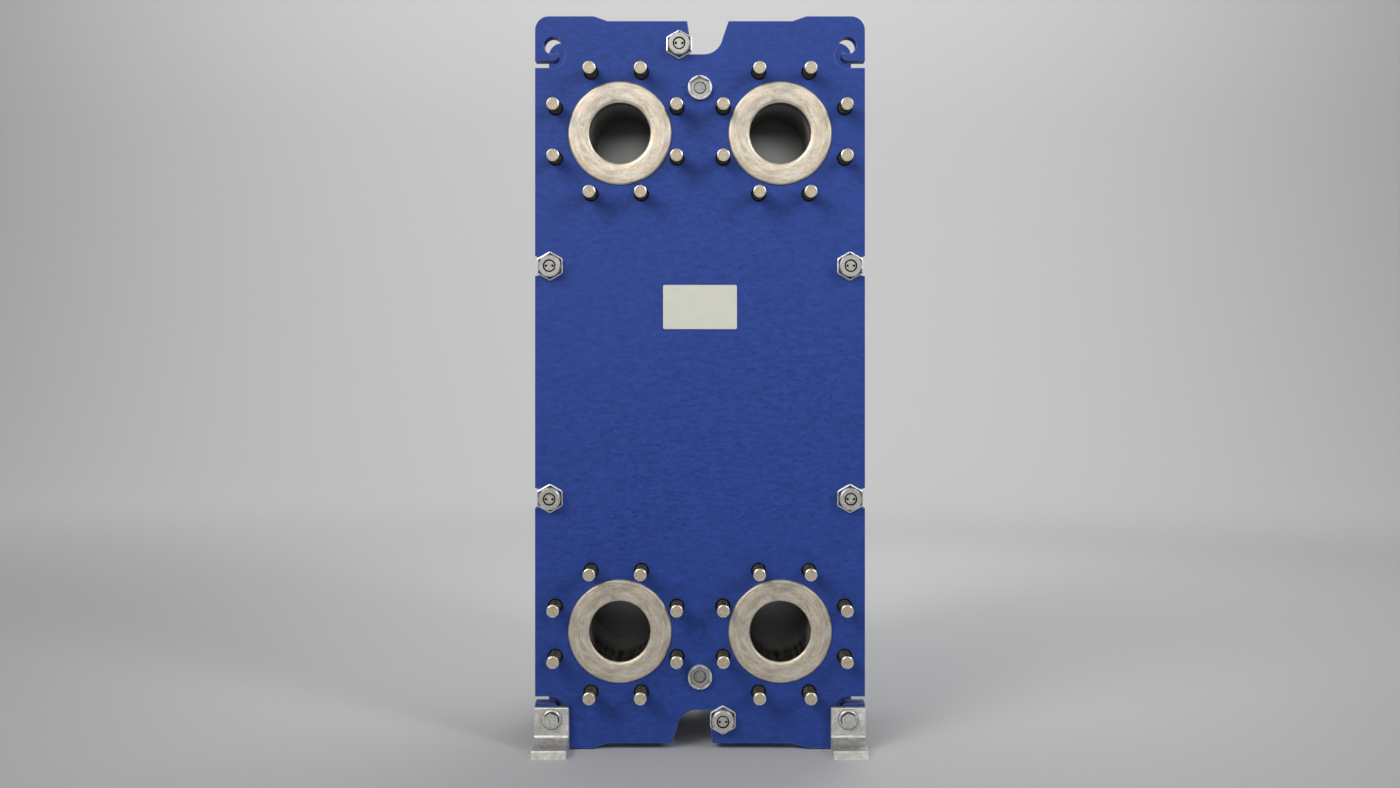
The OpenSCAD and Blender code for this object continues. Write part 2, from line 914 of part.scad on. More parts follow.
foot_nuts();
name_plate();
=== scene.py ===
"""Gasketed plate heat exchanger: the looks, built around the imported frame.

Metres, +Z up, the connection side at -Y. Places and sizes come from the frame's boxes and
mounts; the values below are only what the frame doesn't hold, such as thread pitches.
"""

import json
import math

import bmesh
import bpy
from mathutils import Matrix, Vector


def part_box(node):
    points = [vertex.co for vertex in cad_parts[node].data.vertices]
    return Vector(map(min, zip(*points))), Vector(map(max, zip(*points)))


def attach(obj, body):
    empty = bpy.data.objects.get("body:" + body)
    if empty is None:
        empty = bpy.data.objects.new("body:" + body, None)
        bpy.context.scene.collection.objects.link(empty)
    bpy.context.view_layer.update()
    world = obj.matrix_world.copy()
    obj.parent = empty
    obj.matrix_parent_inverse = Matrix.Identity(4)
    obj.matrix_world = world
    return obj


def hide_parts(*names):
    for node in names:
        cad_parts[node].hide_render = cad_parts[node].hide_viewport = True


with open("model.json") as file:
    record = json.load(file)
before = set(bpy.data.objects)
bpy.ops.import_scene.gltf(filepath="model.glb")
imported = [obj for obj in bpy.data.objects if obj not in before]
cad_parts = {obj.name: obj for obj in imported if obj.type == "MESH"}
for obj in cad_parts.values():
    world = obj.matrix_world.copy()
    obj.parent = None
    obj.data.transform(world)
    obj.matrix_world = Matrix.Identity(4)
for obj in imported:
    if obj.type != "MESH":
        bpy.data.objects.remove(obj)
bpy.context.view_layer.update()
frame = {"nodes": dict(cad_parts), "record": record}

MM = 0.001
WELD = 1e-6  # points closer than this are one point
NEAR = 0.1 * MM  # margin for telling which surface a face belongs to
SHARP = math.radians(28)  # edges steeper than this aren't shaded smooth

# ---- places and sizes from the frame -----------------------------------------

CORNERS = ("upper_left", "upper_right", "lower_left", "lower_right")
BOLTS = ("top", "bottom", "left_upper", "left_lower", "right_upper", "right_lower")
MOUNTS = {m["name"]: m for m in frame["record"]["mounts"]}

plate_lo, plate_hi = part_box("frame_plate")
pack_lo, pack_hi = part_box("channel_plates")
front_y = plate_lo.y
cover_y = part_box("pressure_plate")[0].y
pack_end_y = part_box("end_plate")[0].y
port_r = MOUNTS["port_upper_left"]["dims"]["r_mm"] * MM
stud_dims = MOUNTS["studs_upper_left"]["dims"]
stud_r, stud_ring_r = stud_dims["stud_r_mm"] * MM, stud_dims["pcd_mm"] * MM / 2


def middle(node):
    lo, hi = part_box(node)
    return (lo + hi) / 2


def axis_of(node):
    """X and Z of a node's middle, for what runs along Y through it."""
    centre = middle(node)
    return (centre.x, centre.z)


def stud_places(corner):
    """X and Z of each stud round a port, the first half a step from the horizontal."""
    x, _, z = MOUNTS["studs_" + corner]["pos_m"]
    count = stud_dims["count"]
    turns = [(i + 0.5) * math.tau / count for i in range(count)]
    return [(x + stud_ring_r * math.cos(t), z + stud_ring_r * math.sin(t)) for t in turns]


# ---- materials ---------------------------------------------------------------


class Look:
    """A Principled material under construction, with short calls for its pattern nodes."""

    def __init__(self, name, color, roughness, metallic=0.0):
        self.material = bpy.data.materials.new(name)
        self.material.use_nodes = True
        self.tree = self.material.node_tree
        self.shader = self.tree.nodes["Principled BSDF"]
        self.put("Base Color", (*color, 1.0))
        self.put("Roughness", roughness)
        self.put("Metallic", metallic)
        self.coords = self.tree.nodes.new("ShaderNodeTexCoord").outputs["Object"]

    def put(self, socket, value):
        """Sets or links one input of the shader."""
        self.connect(self.shader.inputs[socket], value)

    def rough(self, pattern, low, high):
        """Lets the roughness follow a noise pattern."""
        self.put("Roughness", self.remap(pattern, 0.3, 0.7, low, high))

    def connect(self, socket, value):
        """Links a socket to a node's output, or sets its value."""
        if isinstance(value, bpy.types.NodeSocket):
            self.tree.links.new(value, socket)
        else:
            socket.default_value = value

    def add(self, kind, inputs, out=0, **settings):
        """Adds a node and returns one of its outputs."""
        node = self.tree.nodes.new("ShaderNode" + kind)
        for key, value in settings.items():
            setattr(node, key, value)
        for key, value in inputs.items():
            self.connect(node.inputs[key], value)
        return node.outputs[out]

    def stretched(self, scale):
        return self.add("Mapping", {"Vector": self.coords, "Scale": scale})

    def noise(self, where, scale, detail=2.0, roughness=0.5, distortion=0.0):
        return self.add("TexNoise", {"Vector": where, "Scale": scale, "Detail": detail,
                                     "Roughness": roughness, "Distortion": distortion})

    def remap(self, value, low, high, to_low, to_high):
        """Maps low to high onto to_low to to_high, and stops at their ends."""
        return self.add("MapRange", {"Value": value, "From Min": low, "From Max": high,
                                     "To Min": to_low, "To Max": to_high})

    def blend(self, share, low, high):
        """Colour between two colours."""
        colors = {"Fac": share, "Color1": low, "Color2": high}
        return self.add("MixRGB", {k: self.rgba(v) for k, v in colors.items()})

    @staticmethod
    def rgba(value):
        return (*value, 1.0) if isinstance(value, tuple) and len(value) == 3 else value

    def bump(self, height, depth, normal=None):
        inputs = {"Height": height, "Distance": depth, "Strength": 1.0}
        if normal is not None:
            inputs["Normal"] = normal
        return self.add("Bump", inputs)


def scaled(color, share):
    return tuple(c * share for c in color)


def frame_paint():
    """Blue satin epoxy paint: rolled on, so it is faintly streaked across and mottled."""
    blue = (0.0252, 0.067, 0.335)
    look = Look("frame_paint", blue, 0.5)
    clouds = look.noise(look.coords, 3.2, detail=3)
    swirl = look.noise(look.stretched((1, 1, 2.2)), 78, detail=4, roughness=0.62, distortion=0.9)
    specks = look.noise(look.stretched((1.0, 1.0, 0.55)), 210, detail=1)
    tone = look.blend(look.remap(swirl, 0.34, 0.66, 0, 1), scaled(blue, 0.78), scaled(blue, 1.22))
    tone = look.blend(look.remap(clouds, 0.35, 0.65, 0, 0.3), tone, scaled(blue, 1.12))
    tone = look.blend(look.remap(specks, 0.74, 0.82, 0, 0.5), tone, scaled(blue, 0.5))
    look.put("Base Color", tone)
    look.rough(swirl, 0.44, 0.58)
    skin = look.bump(swirl, 0.14 * MM)
    look.put("Normal", look.bump(look.noise(look.coords, 900, detail=1), 0.015 * MM, skin))
    look.put("Specular IOR Level", 0.3)
    return look.material


def edge_paint_highlight():
    """The same paint on the rounded edges, lighter and shinier: a painted highlight along them."""
    look = Look("edge_paint_highlight", (0.060, 0.115, 0.42), 0.4)
    worn = look.noise(look.coords, 90, detail=2)
    look.put("Base Color", look.blend(worn, (0.045, 0.095, 0.38), (0.085, 0.145, 0.46)))
    return look.material


def liner_metal():
    """Turned liner flange: fine brushing in circles round the piece's origin, and faint heat tints."""
    cream = (0.90, 0.80, 0.635)
    look = Look("liner_metal", cream, 0.42, metallic=0.7)
    flat = look.add("VectorMath", {0: look.coords, 1: (1, 0, 1)}, operation="MULTIPLY")
    around = look.add("VectorMath", {0: flat}, operation="NORMALIZE")
    radius = look.add("VectorMath", {0: flat}, out="Value", operation="LENGTH")

    def arcs(count, fine):
        """Streaks along circles: count sets how many go round, fine how close they lie."""
        lift = look.add("Math", {0: radius, 1: fine}, operation="MULTIPLY")
        lift = look.add("CombineXYZ", {"Y": lift})
        ring = look.add("VectorMath", {0: around, 1: (count, 0, count)}, operation="MULTIPLY")
        return look.add("VectorMath", {0: ring, 1: lift}, operation="ADD")

    brush = look.noise(arcs(7, 620.0), 1.0, detail=3, roughness=0.65)
    wipes = look.noise(arcs(2.2, 150.0), 1.0, detail=3, roughness=0.6, distortion=0.6)
    mottle = look.noise(look.coords, 190, detail=3, roughness=0.65)
    warm = look.noise(look.coords, 60, detail=1)
    cool = look.noise(look.coords, 85, detail=1)
    tone = look.blend(look.remap(brush, 0.3, 0.7, 0, 1), scaled(cream, 0.72), scaled(cream, 1.16))
    tone = look.blend(look.remap(wipes, 0.52, 0.66, 0, 0.8), tone, (0.60, 0.52, 0.42))
    tone = look.blend(look.remap(wipes, 0.47, 0.35, 0, 0.8), tone, (1.0, 0.94, 0.81))
    tone = look.blend(look.remap(mottle, 0.57, 0.7, 0, 0.5), tone, (0.50, 0.44, 0.38))
    tone = look.blend(look.remap(warm, 0.5, 0.7, 0, 0.35), tone, (0.86, 0.68, 0.54))
    tone = look.blend(look.remap(cool, 0.55, 0.75, 0, 0.35), tone, (0.70, 0.72, 0.76))
    look.put("Base Color", tone)
    look.rough(brush, 0.36, 0.52)
    look.put("Normal", look.bump(brush, 0.05 * MM))
    return look.material


def dark_bore():
    """Inside of a port: dull grey metal with painted shade at the mouth, and darker streaks on its bottom
    towards the mouth.

    The piece's origin is the middle of the mouth, and Y runs into the port.
    """
    look = Look("dark_bore", (0.25, 0.24, 0.225), 0.55, metallic=0.5)
    stain = look.noise(look.stretched((1, 0.3, 1)), 60, detail=3)
    streaks = look.noise(look.stretched((1, 0.02, 1)), 150, detail=1)
    depth, height = (look.add("SeparateXYZ", {"Vector": look.coords}, out=axis) for axis in "YZ")
    # Near-black share: painted shade over the first six centimetres of the mouth, and dark streaks on the
    # bottom that fade out further in.
    near = look.remap(depth, 0.09, 0.21, 1, 0)
    low = look.remap(height, 0.2 * port_r, -0.6 * port_r, 0, 1)
    mouth = look.remap(depth, 0.0, 0.06, 0.96, 0)
    share = look.add("Math", {0: near, 1: low}, operation="MULTIPLY")
    share = look.add("Math", {0: share, 1: mouth}, operation="MAXIMUM")
    plain_wall = look.blend(stain, (0.60, 0.59, 0.57), (0.88, 0.87, 0.85))
    shade_and_streaks = look.blend(look.remap(streaks, 0.4, 0.62, 0, 1), (0.010, 0.009, 0.007), (0.085, 0.078, 0.062))
    look.put("Base Color", look.blend(share, plain_wall, shade_and_streaks))
    look.rough(stain, 0.45, 0.7)
    return look.material


def blind_end():
    """The plain last sheet, which shows at the far end of each port: faintly stained."""
    look = Look("blind_end", (0.9, 0.9, 0.89), 0.3, metallic=0.4)
    stain = look.noise(look.coords, 30, detail=3)
    look.put("Base Color", look.blend(stain, (0.84, 0.84, 0.83), (0.96, 0.96, 0.95)))
    look.rough(stain, 0.285, 0.33)
    return look.material


def zinc(name, color, roughness, metallic, grain):
    """Zinc-plated or galvanised metal with a fine cloudy grain and faint scratches."""
    look = Look(name, color, roughness, metallic)
    cloud = look.noise(look.coords, grain, detail=3, roughness=0.6)
    wide = look.noise(look.coords, grain / 5, detail=2)
    marks = look.noise(look.stretched((1, 1, 0.25)), grain * 1.4, detail=2, distortion=0.6)
    tone = look.blend(look.remap(cloud, 0.32, 0.68, 0, 1), scaled(color, 0.70), scaled(color, 1.16))
    tone = look.blend(look.remap(wide, 0.45, 0.7, 0, 0.6), tone, scaled(color, 0.78))
    tone = look.blend(look.remap(marks, 0.62, 0.72, 0, 0.5), tone, scaled(color, 0.55))
    look.put("Base Color", tone)
    look.rough(cloud, roughness - 0.08, roughness + 0.1)
    look.put("Normal", look.bump(cloud, 0.04 * MM))
    return look.material


def painted_shade():
    """Painted shade on zinc, in grooves, sockets, flange steps and under bolt heads, with darker patches."""
    look = Look("zinc_painted_shade", (0.13, 0.12, 0.10), 0.6, metallic=0.3)
    patches = look.noise(look.coords, 320, detail=2)
    look.put("Base Color", look.blend(patches, (0.035, 0.033, 0.026), (0.14, 0.13, 0.105)))
    return look.material


def shaded_gaps():
    """Narrow gaps and small holes of nuts and bolts: painted shade, nearly black and faintly uneven."""
    look = Look("shaded_gaps", (0.012, 0.012, 0.011), 0.6)
    blotches = look.noise(look.coords, 500, detail=2)
    look.put("Base Color", look.blend(blotches, (0.006, 0.006, 0.005), (0.022, 0.021, 0.018)))
    return look.material


def stud_thread_shade():
    """Nearly black thread with a trace of yellow zinc on its crests; the darkness is painted shade and dark
    reflection, and the same colour paints shade into the mouths round the studs.
    """
    look = Look("stud_thread_shade", (0.03, 0.028, 0.02), 0.5, metallic=0.7)
    wear = look.remap(look.noise(look.coords, 300, detail=2), 0.45, 0.7, 0, 1)
    look.put("Base Color", look.blend(wear, (0.045, 0.042, 0.032), (0.17, 0.155, 0.105)))
    return look.material


def rubber():
    """Black rubber with dust in long streaks."""
    look = Look("gasket_rubber", (0.022, 0.022, 0.023), 0.62)
    dust = look.noise(look.stretched((1, 1, 0.2)), 120, detail=3)
    dusty = look.remap(dust, 0.45, 0.8, 0, 1)
    look.put("Base Color", look.blend(dusty, (0.018, 0.018, 0.019), (0.06, 0.058, 0.055)))
    look.rough(dust, 0.5, 0.75)
    return look.material


def plate_steel():
    """Pressed stainless sheet, with the rolling direction along its height."""
    look = Look("plate_steel", (0.56, 0.57, 0.58), 0.3, metallic=1.0)
    rolled = look.noise(look.stretched((1, 1, 0.04)), 2200, detail=2)
    stain = look.noise(look.coords, 14, detail=3)
    tone = look.blend(look.remap(rolled, 0.3, 0.7, 0, 1), (0.74, 0.75, 0.76), (0.88, 0.89, 0.90))
    tone = look.blend(look.remap(stain, 0.5, 0.75, 0, 0.3), tone, (0.68, 0.65, 0.60))
    look.put("Base Color", tone)
    look.rough(rolled, 0.285, 0.36)
    return look.material


def bronze():
    """Cast bronze with a cloudy tarnish."""
    look = Look("pad_bronze", (0.48, 0.31, 0.13), 0.42, metallic=1.0)
    cloud = look.noise(look.coords, 180, detail=3)
    look.put("Base Color", look.blend(cloud, (0.36, 0.22, 0.09), (0.58, 0.40, 0.19)))
    look.rough(cloud, 0.34, 0.52)
    return look.material


def cream_lacquer():
    """Bare name plate: cream lacquer, very slightly uneven."""
    look = Look("name_plate", (0.80, 0.80, 0.70), 0.4)
    cloud = look.noise(look.stretched((1, 1, 1.6)), 45, detail=3)
    look.put("Base Color", look.blend(cloud, (0.765, 0.755, 0.66), (0.84, 0.85, 0.75)))
    look.rough(cloud, 0.34, 0.48)
    return look.material


PAINT = frame_paint()
PAINT_EDGE_HIGHLIGHT = edge_paint_highlight()
LINER = liner_metal()
BORE = dark_bore()
BLIND = blind_end()
NUT = zinc("nut_zinc", (0.67, 0.65, 0.605), 0.38, 0.35, grain=420.0)
# Lighter zinc for the socket nuts' outsides and the foot bolts' flange cones: a painted highlight.
NUT_LIP_HIGHLIGHT = zinc("nut_lip_painted_highlight", (0.94, 0.955, 0.96), 0.3, 0.25, grain=420.0)
# Lighter, shinier zinc for the front nuts' lips and boss bevels: a painted highlight.
LIP_SHEEN = zinc("lip_zinc_painted_highlight", (0.97, 0.98, 0.985), 0.32, 0.75, grain=420.0)
GALVANISED = zinc("galvanised", (0.88, 0.86, 0.80), 0.40, 0.2, grain=120.0)
# Darker galvanised for the feet's upward faces and anchor slots: painted shade.
TOE_TOP_SHADE = zinc("galvanised_painted_shade", (0.56, 0.545, 0.525), 0.45, 0.4, grain=120.0)
# Lighter galvanised for the toes' front faces: a painted highlight.
TOE_END_HIGHLIGHT = zinc("galvanised_painted_highlight", (0.95, 0.935, 0.88), 0.38, 0.25, grain=120.0)
# Still darker galvanised for the top face of each foot's upright leg: painted shade.
LEG_TOP_SHADE = zinc("galvanised_leg_painted_shade", (0.33, 0.325, 0.32), 0.5, 0.4, grain=120.0)
# Lighter, shinier zinc on the feet's edge facets and the top band of the bend: a painted highlight.
FOOT_HIGHLIGHT = zinc("zinc_painted_highlight", (0.97, 0.96, 0.93), 0.42, 0.85, grain=90.0)
FOOT_BOLT = zinc("foot_bolt_zinc", (0.74, 0.73, 0.68), 0.36, 0.35, grain=300.0)
STUD_FACE = zinc("stud_zinc", (0.70, 0.60, 0.43), 0.40, 0.25, grain=520.0)
BAR_TIP = zinc("bar_end_zinc", (0.49, 0.485, 0.46), 0.45, 0.2, grain=300.0)
# Lighter, shinier zinc on the studs' end chamfers: a painted highlight.
STUD_RIM_HIGHLIGHT = zinc("stud_rim_painted_highlight", (0.97, 0.94, 0.86), 0.30, 0.6, grain=420.0)
THREAD_SHADE = stud_thread_shade()
PAINTED_SHADE = painted_shade()
GAP_SHADE = shaded_gaps()
STEEL = plate_steel()
RUBBER = rubber()
BRONZE = bronze()
LACQUER = cream_lacquer()

# ---- mesh helpers ------------------------------------------------------------

ACROSS, DEEP, UP = 0, 1, 2


def shown(name, mesh, materials, nodes, at=(0, 0, 0)):
    """Makes a mesh or bmesh into a piece that stands for its CAD nodes. at is where its origin lies."""
    if isinstance(mesh, bmesh.types.BMesh):
        mesh = mesh_from(mesh, name)
    mesh.transform(Matrix.Translation(-Vector(at)))
    for material in materials:
        mesh.materials.append(material)
    mesh.shade_smooth()
    mesh.set_sharp_from_angle(angle=SHARP)
    piece = bpy.data.objects.new(name, mesh)
    piece.location = at
    bpy.context.scene.collection.objects.link(piece)
    piece.modifiers.new("even_shading", "WEIGHTED_NORMAL").keep_sharp = True
    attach(piece, "root")
    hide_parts(*nodes)
    return piece


def mesh_from(bm, name="mesh"):
    """Turns a bmesh into a mesh, welded and with its faces outward."""
    bmesh.ops.remove_doubles(bm, verts=bm.verts, dist=WELD)
    bmesh.ops.recalc_face_normals(bm, faces=bm.faces)
    mesh = bpy.data.meshes.new(name)
    bm.to_mesh(mesh)
    bm.free()
    return mesh


def crisp(mesh, index):
    """Marks the edges round one material's faces as sharp, so that those faces are shaded apart."""
    sides = {}
    for face in mesh.polygons:
        for key in face.edge_keys:
            sides.setdefault(key, set()).add(face.material_index)
    for edge in mesh.edges:
        around = sides.get(edge.key, set())
        edge.use_edge_sharp |= index in around and len(around) > 1


def dressed(node, material):
    """Keeps a CAD node and gives it its material."""
    piece = frame["nodes"][node]
    piece.data.materials.clear()
    piece.data.materials.append(material)


def evaluated(thing):
    """The mesh that an object's curve or modifiers make. The object itself goes."""
    bpy.context.scene.collection.objects.link(thing)
    graph = bpy.context.evaluated_depsgraph_get()
    made = bpy.data.meshes.new_from_object(thing.evaluated_get(graph))
    bpy.data.objects.remove(thing)
    return made


def outlines(node, axis):
    """Closed loops round a node's flat face at the low end of an axis, as lists of 2-D points."""
    bm = bmesh.new()
    bm.from_mesh(frame["nodes"][node].data)
    bmesh.ops.remove_doubles(bm, verts=bm.verts, dist=WELD)
    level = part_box(node)[0][axis]
    flat = {f for f in bm.faces if all(abs(v.co[axis] - level) < WELD for v in f.verts)}
    rim = dict.fromkeys(e for e in bm.edges if sum(f in flat for f in e.link_faces) == 1)
    kept = [i for i in range(3) if i != axis]
    loops = []
    while rim:
        edge = next(iter(rim))
        del rim[edge]
        loop = [edge.verts[0], edge.verts[1]]
        while loop[-1] is not loop[0]:
            edge = next(e for e in loop[-1].link_edges if e in rim)
            del rim[edge]
            loop.append(edge.other_vert(loop[-1]))
        loops.append([tuple(v.co[i] for i in kept) for v in loop[:-1]])
    bm.free()
    return loops


def slab(loops, axis, low, high, edge):
    """Solid between two levels of an axis, from an outline and its holes, with rounded edges."""
    curve = bpy.data.curves.new("slab", "CURVE")
    curve.dimensions = "2D"
    curve.fill_mode = "BOTH"
    curve.extrude = (high - low) / 2 - edge
    curve.bevel_depth = edge
    curve.bevel_resolution = 1
    curve.offset = -edge
    for loop in loops:
        spline = curve.splines.new("POLY")
        spline.points.add(len(loop) - 1)
        for point, (u, v) in zip(spline.points, loop):
            point.co = (u, v, 0, 1)
        spline.use_cyclic_u = True
    mesh = evaluated(bpy.data.objects.new("slab", curve))
    turn = {
        ACROSS: Matrix(((0, 0, 1), (1, 0, 0), (0, 1, 0))),
        DEEP: Matrix(((1, 0, 0), (0, 0, -1), (0, 1, 0))),
        UP: Matrix.Identity(3),
    }[axis]
    shift = Vector((0, 0, 0))
    shift[axis] = (low + high) / 2
    mesh.transform(Matrix.Translation(shift) @ turn.to_4x4())
    bm = bmesh.new()
    bm.from_mesh(mesh)
    return mesh_from(bm)


def cut(mesh, cutter):
    """Takes the solids of a bmesh out of a mesh."""
    body = bpy.data.objects.new("body", mesh)
    tool = bpy.data.objects.new("tool", mesh_from(cutter))
    bpy.context.scene.collection.objects.link(tool)
    boolean = body.modifiers.new("cut", "BOOLEAN")
    boolean.operation = "DIFFERENCE"
    boolean.solver = "EXACT"
    boolean.object = tool
    made = evaluated(body)
    bpy.data.objects.remove(tool)
    return made


def circle(centre, radius, count):
    turns = [math.tau * i / count for i in range(count)]
    return [(centre[0] + radius * math.cos(t), centre[1] + radius * math.sin(t)) for t in turns]


def oblong(centre, length, width):
    """Outline of a hole with round ends, along the first of its two directions."""
    radius, count = width / 2, 64
    points = []
    for i in range(count):
        turn = math.tau * (i + 0.5) / count - math.pi / 2
        shift = (length / 2 - radius) * (1 if i < count / 2 else -1)
        points.append((centre[0] + shift + radius * math.cos(turn), centre[1] + radius * math.sin(turn)))
    return points


def prism(bm, loop, axis, low, high):
    """Plain prism on a 2-D loop, such as a drill or cutter."""
    ends = []
    for level in (low, high):
        points = [list(point) for point in loop]
        for point in points:
            point.insert(axis, level)
        ends.append([bm.verts.new(point) for point in points])
        bm.faces.new(ends[-1])
    for i in range(len(loop)):
        j = (i + 1) % len(loop)
        bm.faces.new((ends[0][i], ends[0][j], ends[1][j], ends[1][i]))


def lathe(bm, at, profile, around, index=0):
    """Turns a profile of (radius, y) points round the axis through at = (x, z)."""
    turned(bm, at, [profile] * around, index)


def turned(bm, at, profiles, index=0):
    """Skin over profiles of (radius, y), spread evenly round the axis through at = (x, z)."""
    around = len(profiles)
    columns = []
    for i, profile in enumerate(profiles):
        turn = math.tau * i / around
        columns.append([(at[0] + r * math.cos(turn), y, at[1] + r * math.sin(turn)) for r, y in profile])
    rings = []
    for row in range(len(profiles[0])):
        if all(profile[row][0] < WELD for profile in profiles):
            rings.append([bm.verts.new(columns[0][row])] * around)
        else:
            rings.append([bm.verts.new(column[row]) for column in columns])
    for a, b in zip(rings, rings[1:]):
        for i in range(around):
            j = (i + 1) % around
            corners = list(dict.fromkeys((a[i], a[j], b[j], b[i])))
            if len(corners) > 2:
                bm.faces.new(corners).material_index = index


ROUND, THREAD_SIDES = 48, 24
THREAD_DEPTH = 0.61  # of the pitch


def threaded(bm, at, start, end, radius, pitch, chamfer, index=0):
    """Rod with a helical thread along Y, from start to a chamfered end, about at = (x, z)."""
    way = 1 if end > start else -1
    length = abs(end - start)
    root = radius - THREAD_DEPTH * pitch
    rows = 2 * math.ceil(length / pitch) + 3
    columns = []
    for i in range(THREAD_SIDES):
        angle = math.tau * i / THREAD_SIDES
        column = []
        for row in range(-2, rows):
            along = pitch * (row / 2 + i / THREAD_SIDES)
            r = radius if row % 2 else root
            if not 0 <= along <= length:
                along = min(max(along, 0), length)
                r = root
            r = min(r, radius - chamfer + (length - along))
            place = (at[0] + r * math.cos(angle), start + way * along, at[1] + r * math.sin(angle))
            column.append(bm.verts.new(place))
        columns.append(column)
    for i, here in enumerate(columns):
        there = columns[(i + 1) % THREAD_SIDES]
        shift = 2 if i + 1 == THREAD_SIDES else 0
        for row in range(len(here) - 1 - shift):
            corners = (here[row], here[row + 1], there[row + 1 + shift], there[row + shift])
            bm.faces.new(corners).material_index = index


def hex_radius(across, turn):
    """Distance from a hexagon's centre to its edge, its points at whole sixths of a turn from straight up."""
    off = (turn - math.pi / 2) % (math.pi / 3) - math.pi / 6
    return across / 2 / math.cos(off)


def hexagonal(bm, at, base, face, across, face_r, bore_r, edge, turned_by=0.0):
    """Nut or bolt head along Y, its points up and down unless turned, with a chamfer round its face."""
    way = 1 if face > base else -1
    height = abs(face - base)
    slope = math.tan(math.radians(30))
    around = 72
    profiles = []
    for i in range(around):
        turn = math.tau * i / around - turned_by
        r = min(hex_radius(across, turn), across / math.sqrt(3) - 0.6 * edge)
        rim = min(face_r, r - edge)
        top = height - (r - rim) * slope
        profile = [
            (bore_r, 0), (r - 0.5 * edge, 0), (r, 0.5 * edge), (r, top - edge),
            (r - 0.3 * edge, top - 0.3 * edge), (r - 0.9 * edge, top + 0.9 * edge * slope),
            (rim + 0.3 * edge, height - 0.3 * edge * slope), (rim - 0.4 * edge, height),
        ]
        if bore_r > 0:
            profile += [(bore_r + 0.8 * edge, height), (bore_r, height - 0.8 * edge), (bore_r, 0)]
        else:
            profile.append((0, height))
        profiles.append([(radius, base + way * rise) for radius, rise in profile])
    turned(bm, at, profiles)


# ---- frame plate and pressure plate ------------------------------------------

EDGE = 1 * MM
STUD_MOUTH, MOUTH_FALL, MOUTH_SINK, MOUTH_DEPTH = 11 * MM, 0.6 * MM, 1.2 * MM, 20 * MM


def near_stud(x, z, reach):
    """Whether a point on the plate lies within reach of a stud's axis."""
    return any(math.dist((x, z), at) < reach for corner in CORNERS for at in stud_places(corner))


def is_stud_hole(loop):
    u, v = (sum(values) / len(loop) for values in zip(*loop))
    return near_stud(u, v, stud_r)


def make_frame_plate():
    """The plate by its outlines, with a mouth sunk round each stud in place of the stud's plain hole."""
    loops = [loop for loop in outlines("frame_plate", DEEP) if not is_stud_hole(loop)]
    mesh = slab(loops, DEEP, plate_lo.y, plate_hi.y, EDGE)
    over, floor, sides = MM, front_y + MOUTH_DEPTH, 32
    mouths = bmesh.new()
    for corner in CORNERS:
        for at in stud_places(corner):
            lathe(mouths, at, [(0, front_y - over), (STUD_MOUTH + over, front_y - over),
                               (STUD_MOUTH, front_y), (STUD_MOUTH - MOUTH_FALL, front_y + MOUTH_SINK),
                               (stud_r, floor), (0, floor)], sides)
    body = cut(mesh, mouths)
    # The sunk mouths take the dark thread colour as painted shade, and the rounded front edges the lighter
    # edge paint as painted highlight.
    rounding, mouth = 1, 2
    for face in body.polygons:
        spot = face.center
        sloping = 0.2 < abs(face.normal.y) < 0.97
        if front_y + NEAR < spot.y < floor + NEAR and near_stud(spot.x, spot.z, STUD_MOUTH + 2 * NEAR):
            face.material_index = mouth
        elif spot.y < front_y + EDGE and sloping:
            face.material_index = rounding
    shown("frame_plate_shape", body, [PAINT, PAINT_EDGE_HIGHLIGHT, THREAD_SHADE], ["frame_plate"])


def make_plain_slab(node, axis, material, edge):
    """A node that is one outline along an axis, with its edges rounded."""
    lo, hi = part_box(node)
    mesh = slab(outlines(node, axis), axis, lo[axis], hi[axis], edge)
    shown(node + "_shape", mesh, [material], [node])


# ---- ports -------------------------------------------------------------------


def make_liner(corner):
    """Sleeve with a crowned flange: a broad inner rounding and a tighter outer one."""
    node = "port_liner_" + corner
    lo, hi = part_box(node)
    centre = (lo + hi) / 2
    ring_r = (hi.x - lo.x) / 2
    rise = front_y - lo.y
    wall, in_round, out_round, steps, sides, bore = 5 * MM, 7 * MM, 3 * MM, 8, 160, 1
    mouth_h, top_h, swell, rim_h = 0.25, 0.92, 0.08, 0.17  # heights, in shares of the rise
    quarter = [math.pi / 2 * i / steps for i in range(steps + 1)]
    inner = [(port_r + in_round * (1 - math.cos(t)), mouth_h + (top_h - mouth_h) * math.sin(t))
             for t in quarter]
    crown_from = port_r + in_round
    crown_to = ring_r - out_round
    crown = [(crown_from + (crown_to - crown_from) * i / steps, top_h + swell * math.sin(math.pi * i / steps))
             for i in range(1, steps)]
    outer = [(crown_to + out_round * math.sin(t), rim_h + (top_h - rim_h) * math.cos(t)) for t in quarter]
    flange = [(r, front_y - rise * h) for r, h in inner + crown + outer]
    sleeve = [(ring_r, front_y), (port_r + wall, front_y), (port_r + wall, hi.y), (port_r, hi.y)]
    at = (centre.x, centre.z)
    bm = bmesh.new()
    lathe(bm, at, flange + sleeve, sides)
    lathe(bm, at, [sleeve[-1], flange[0]], sides, bore)
    shown(node + "_shape", bm, [LINER, BORE], [node], (centre.x, front_y, centre.z))


STUD_PITCH, STUD_CHAMFER, STUD_DISH = 2.5 * MM, 1.3 * MM, 0.35 * MM


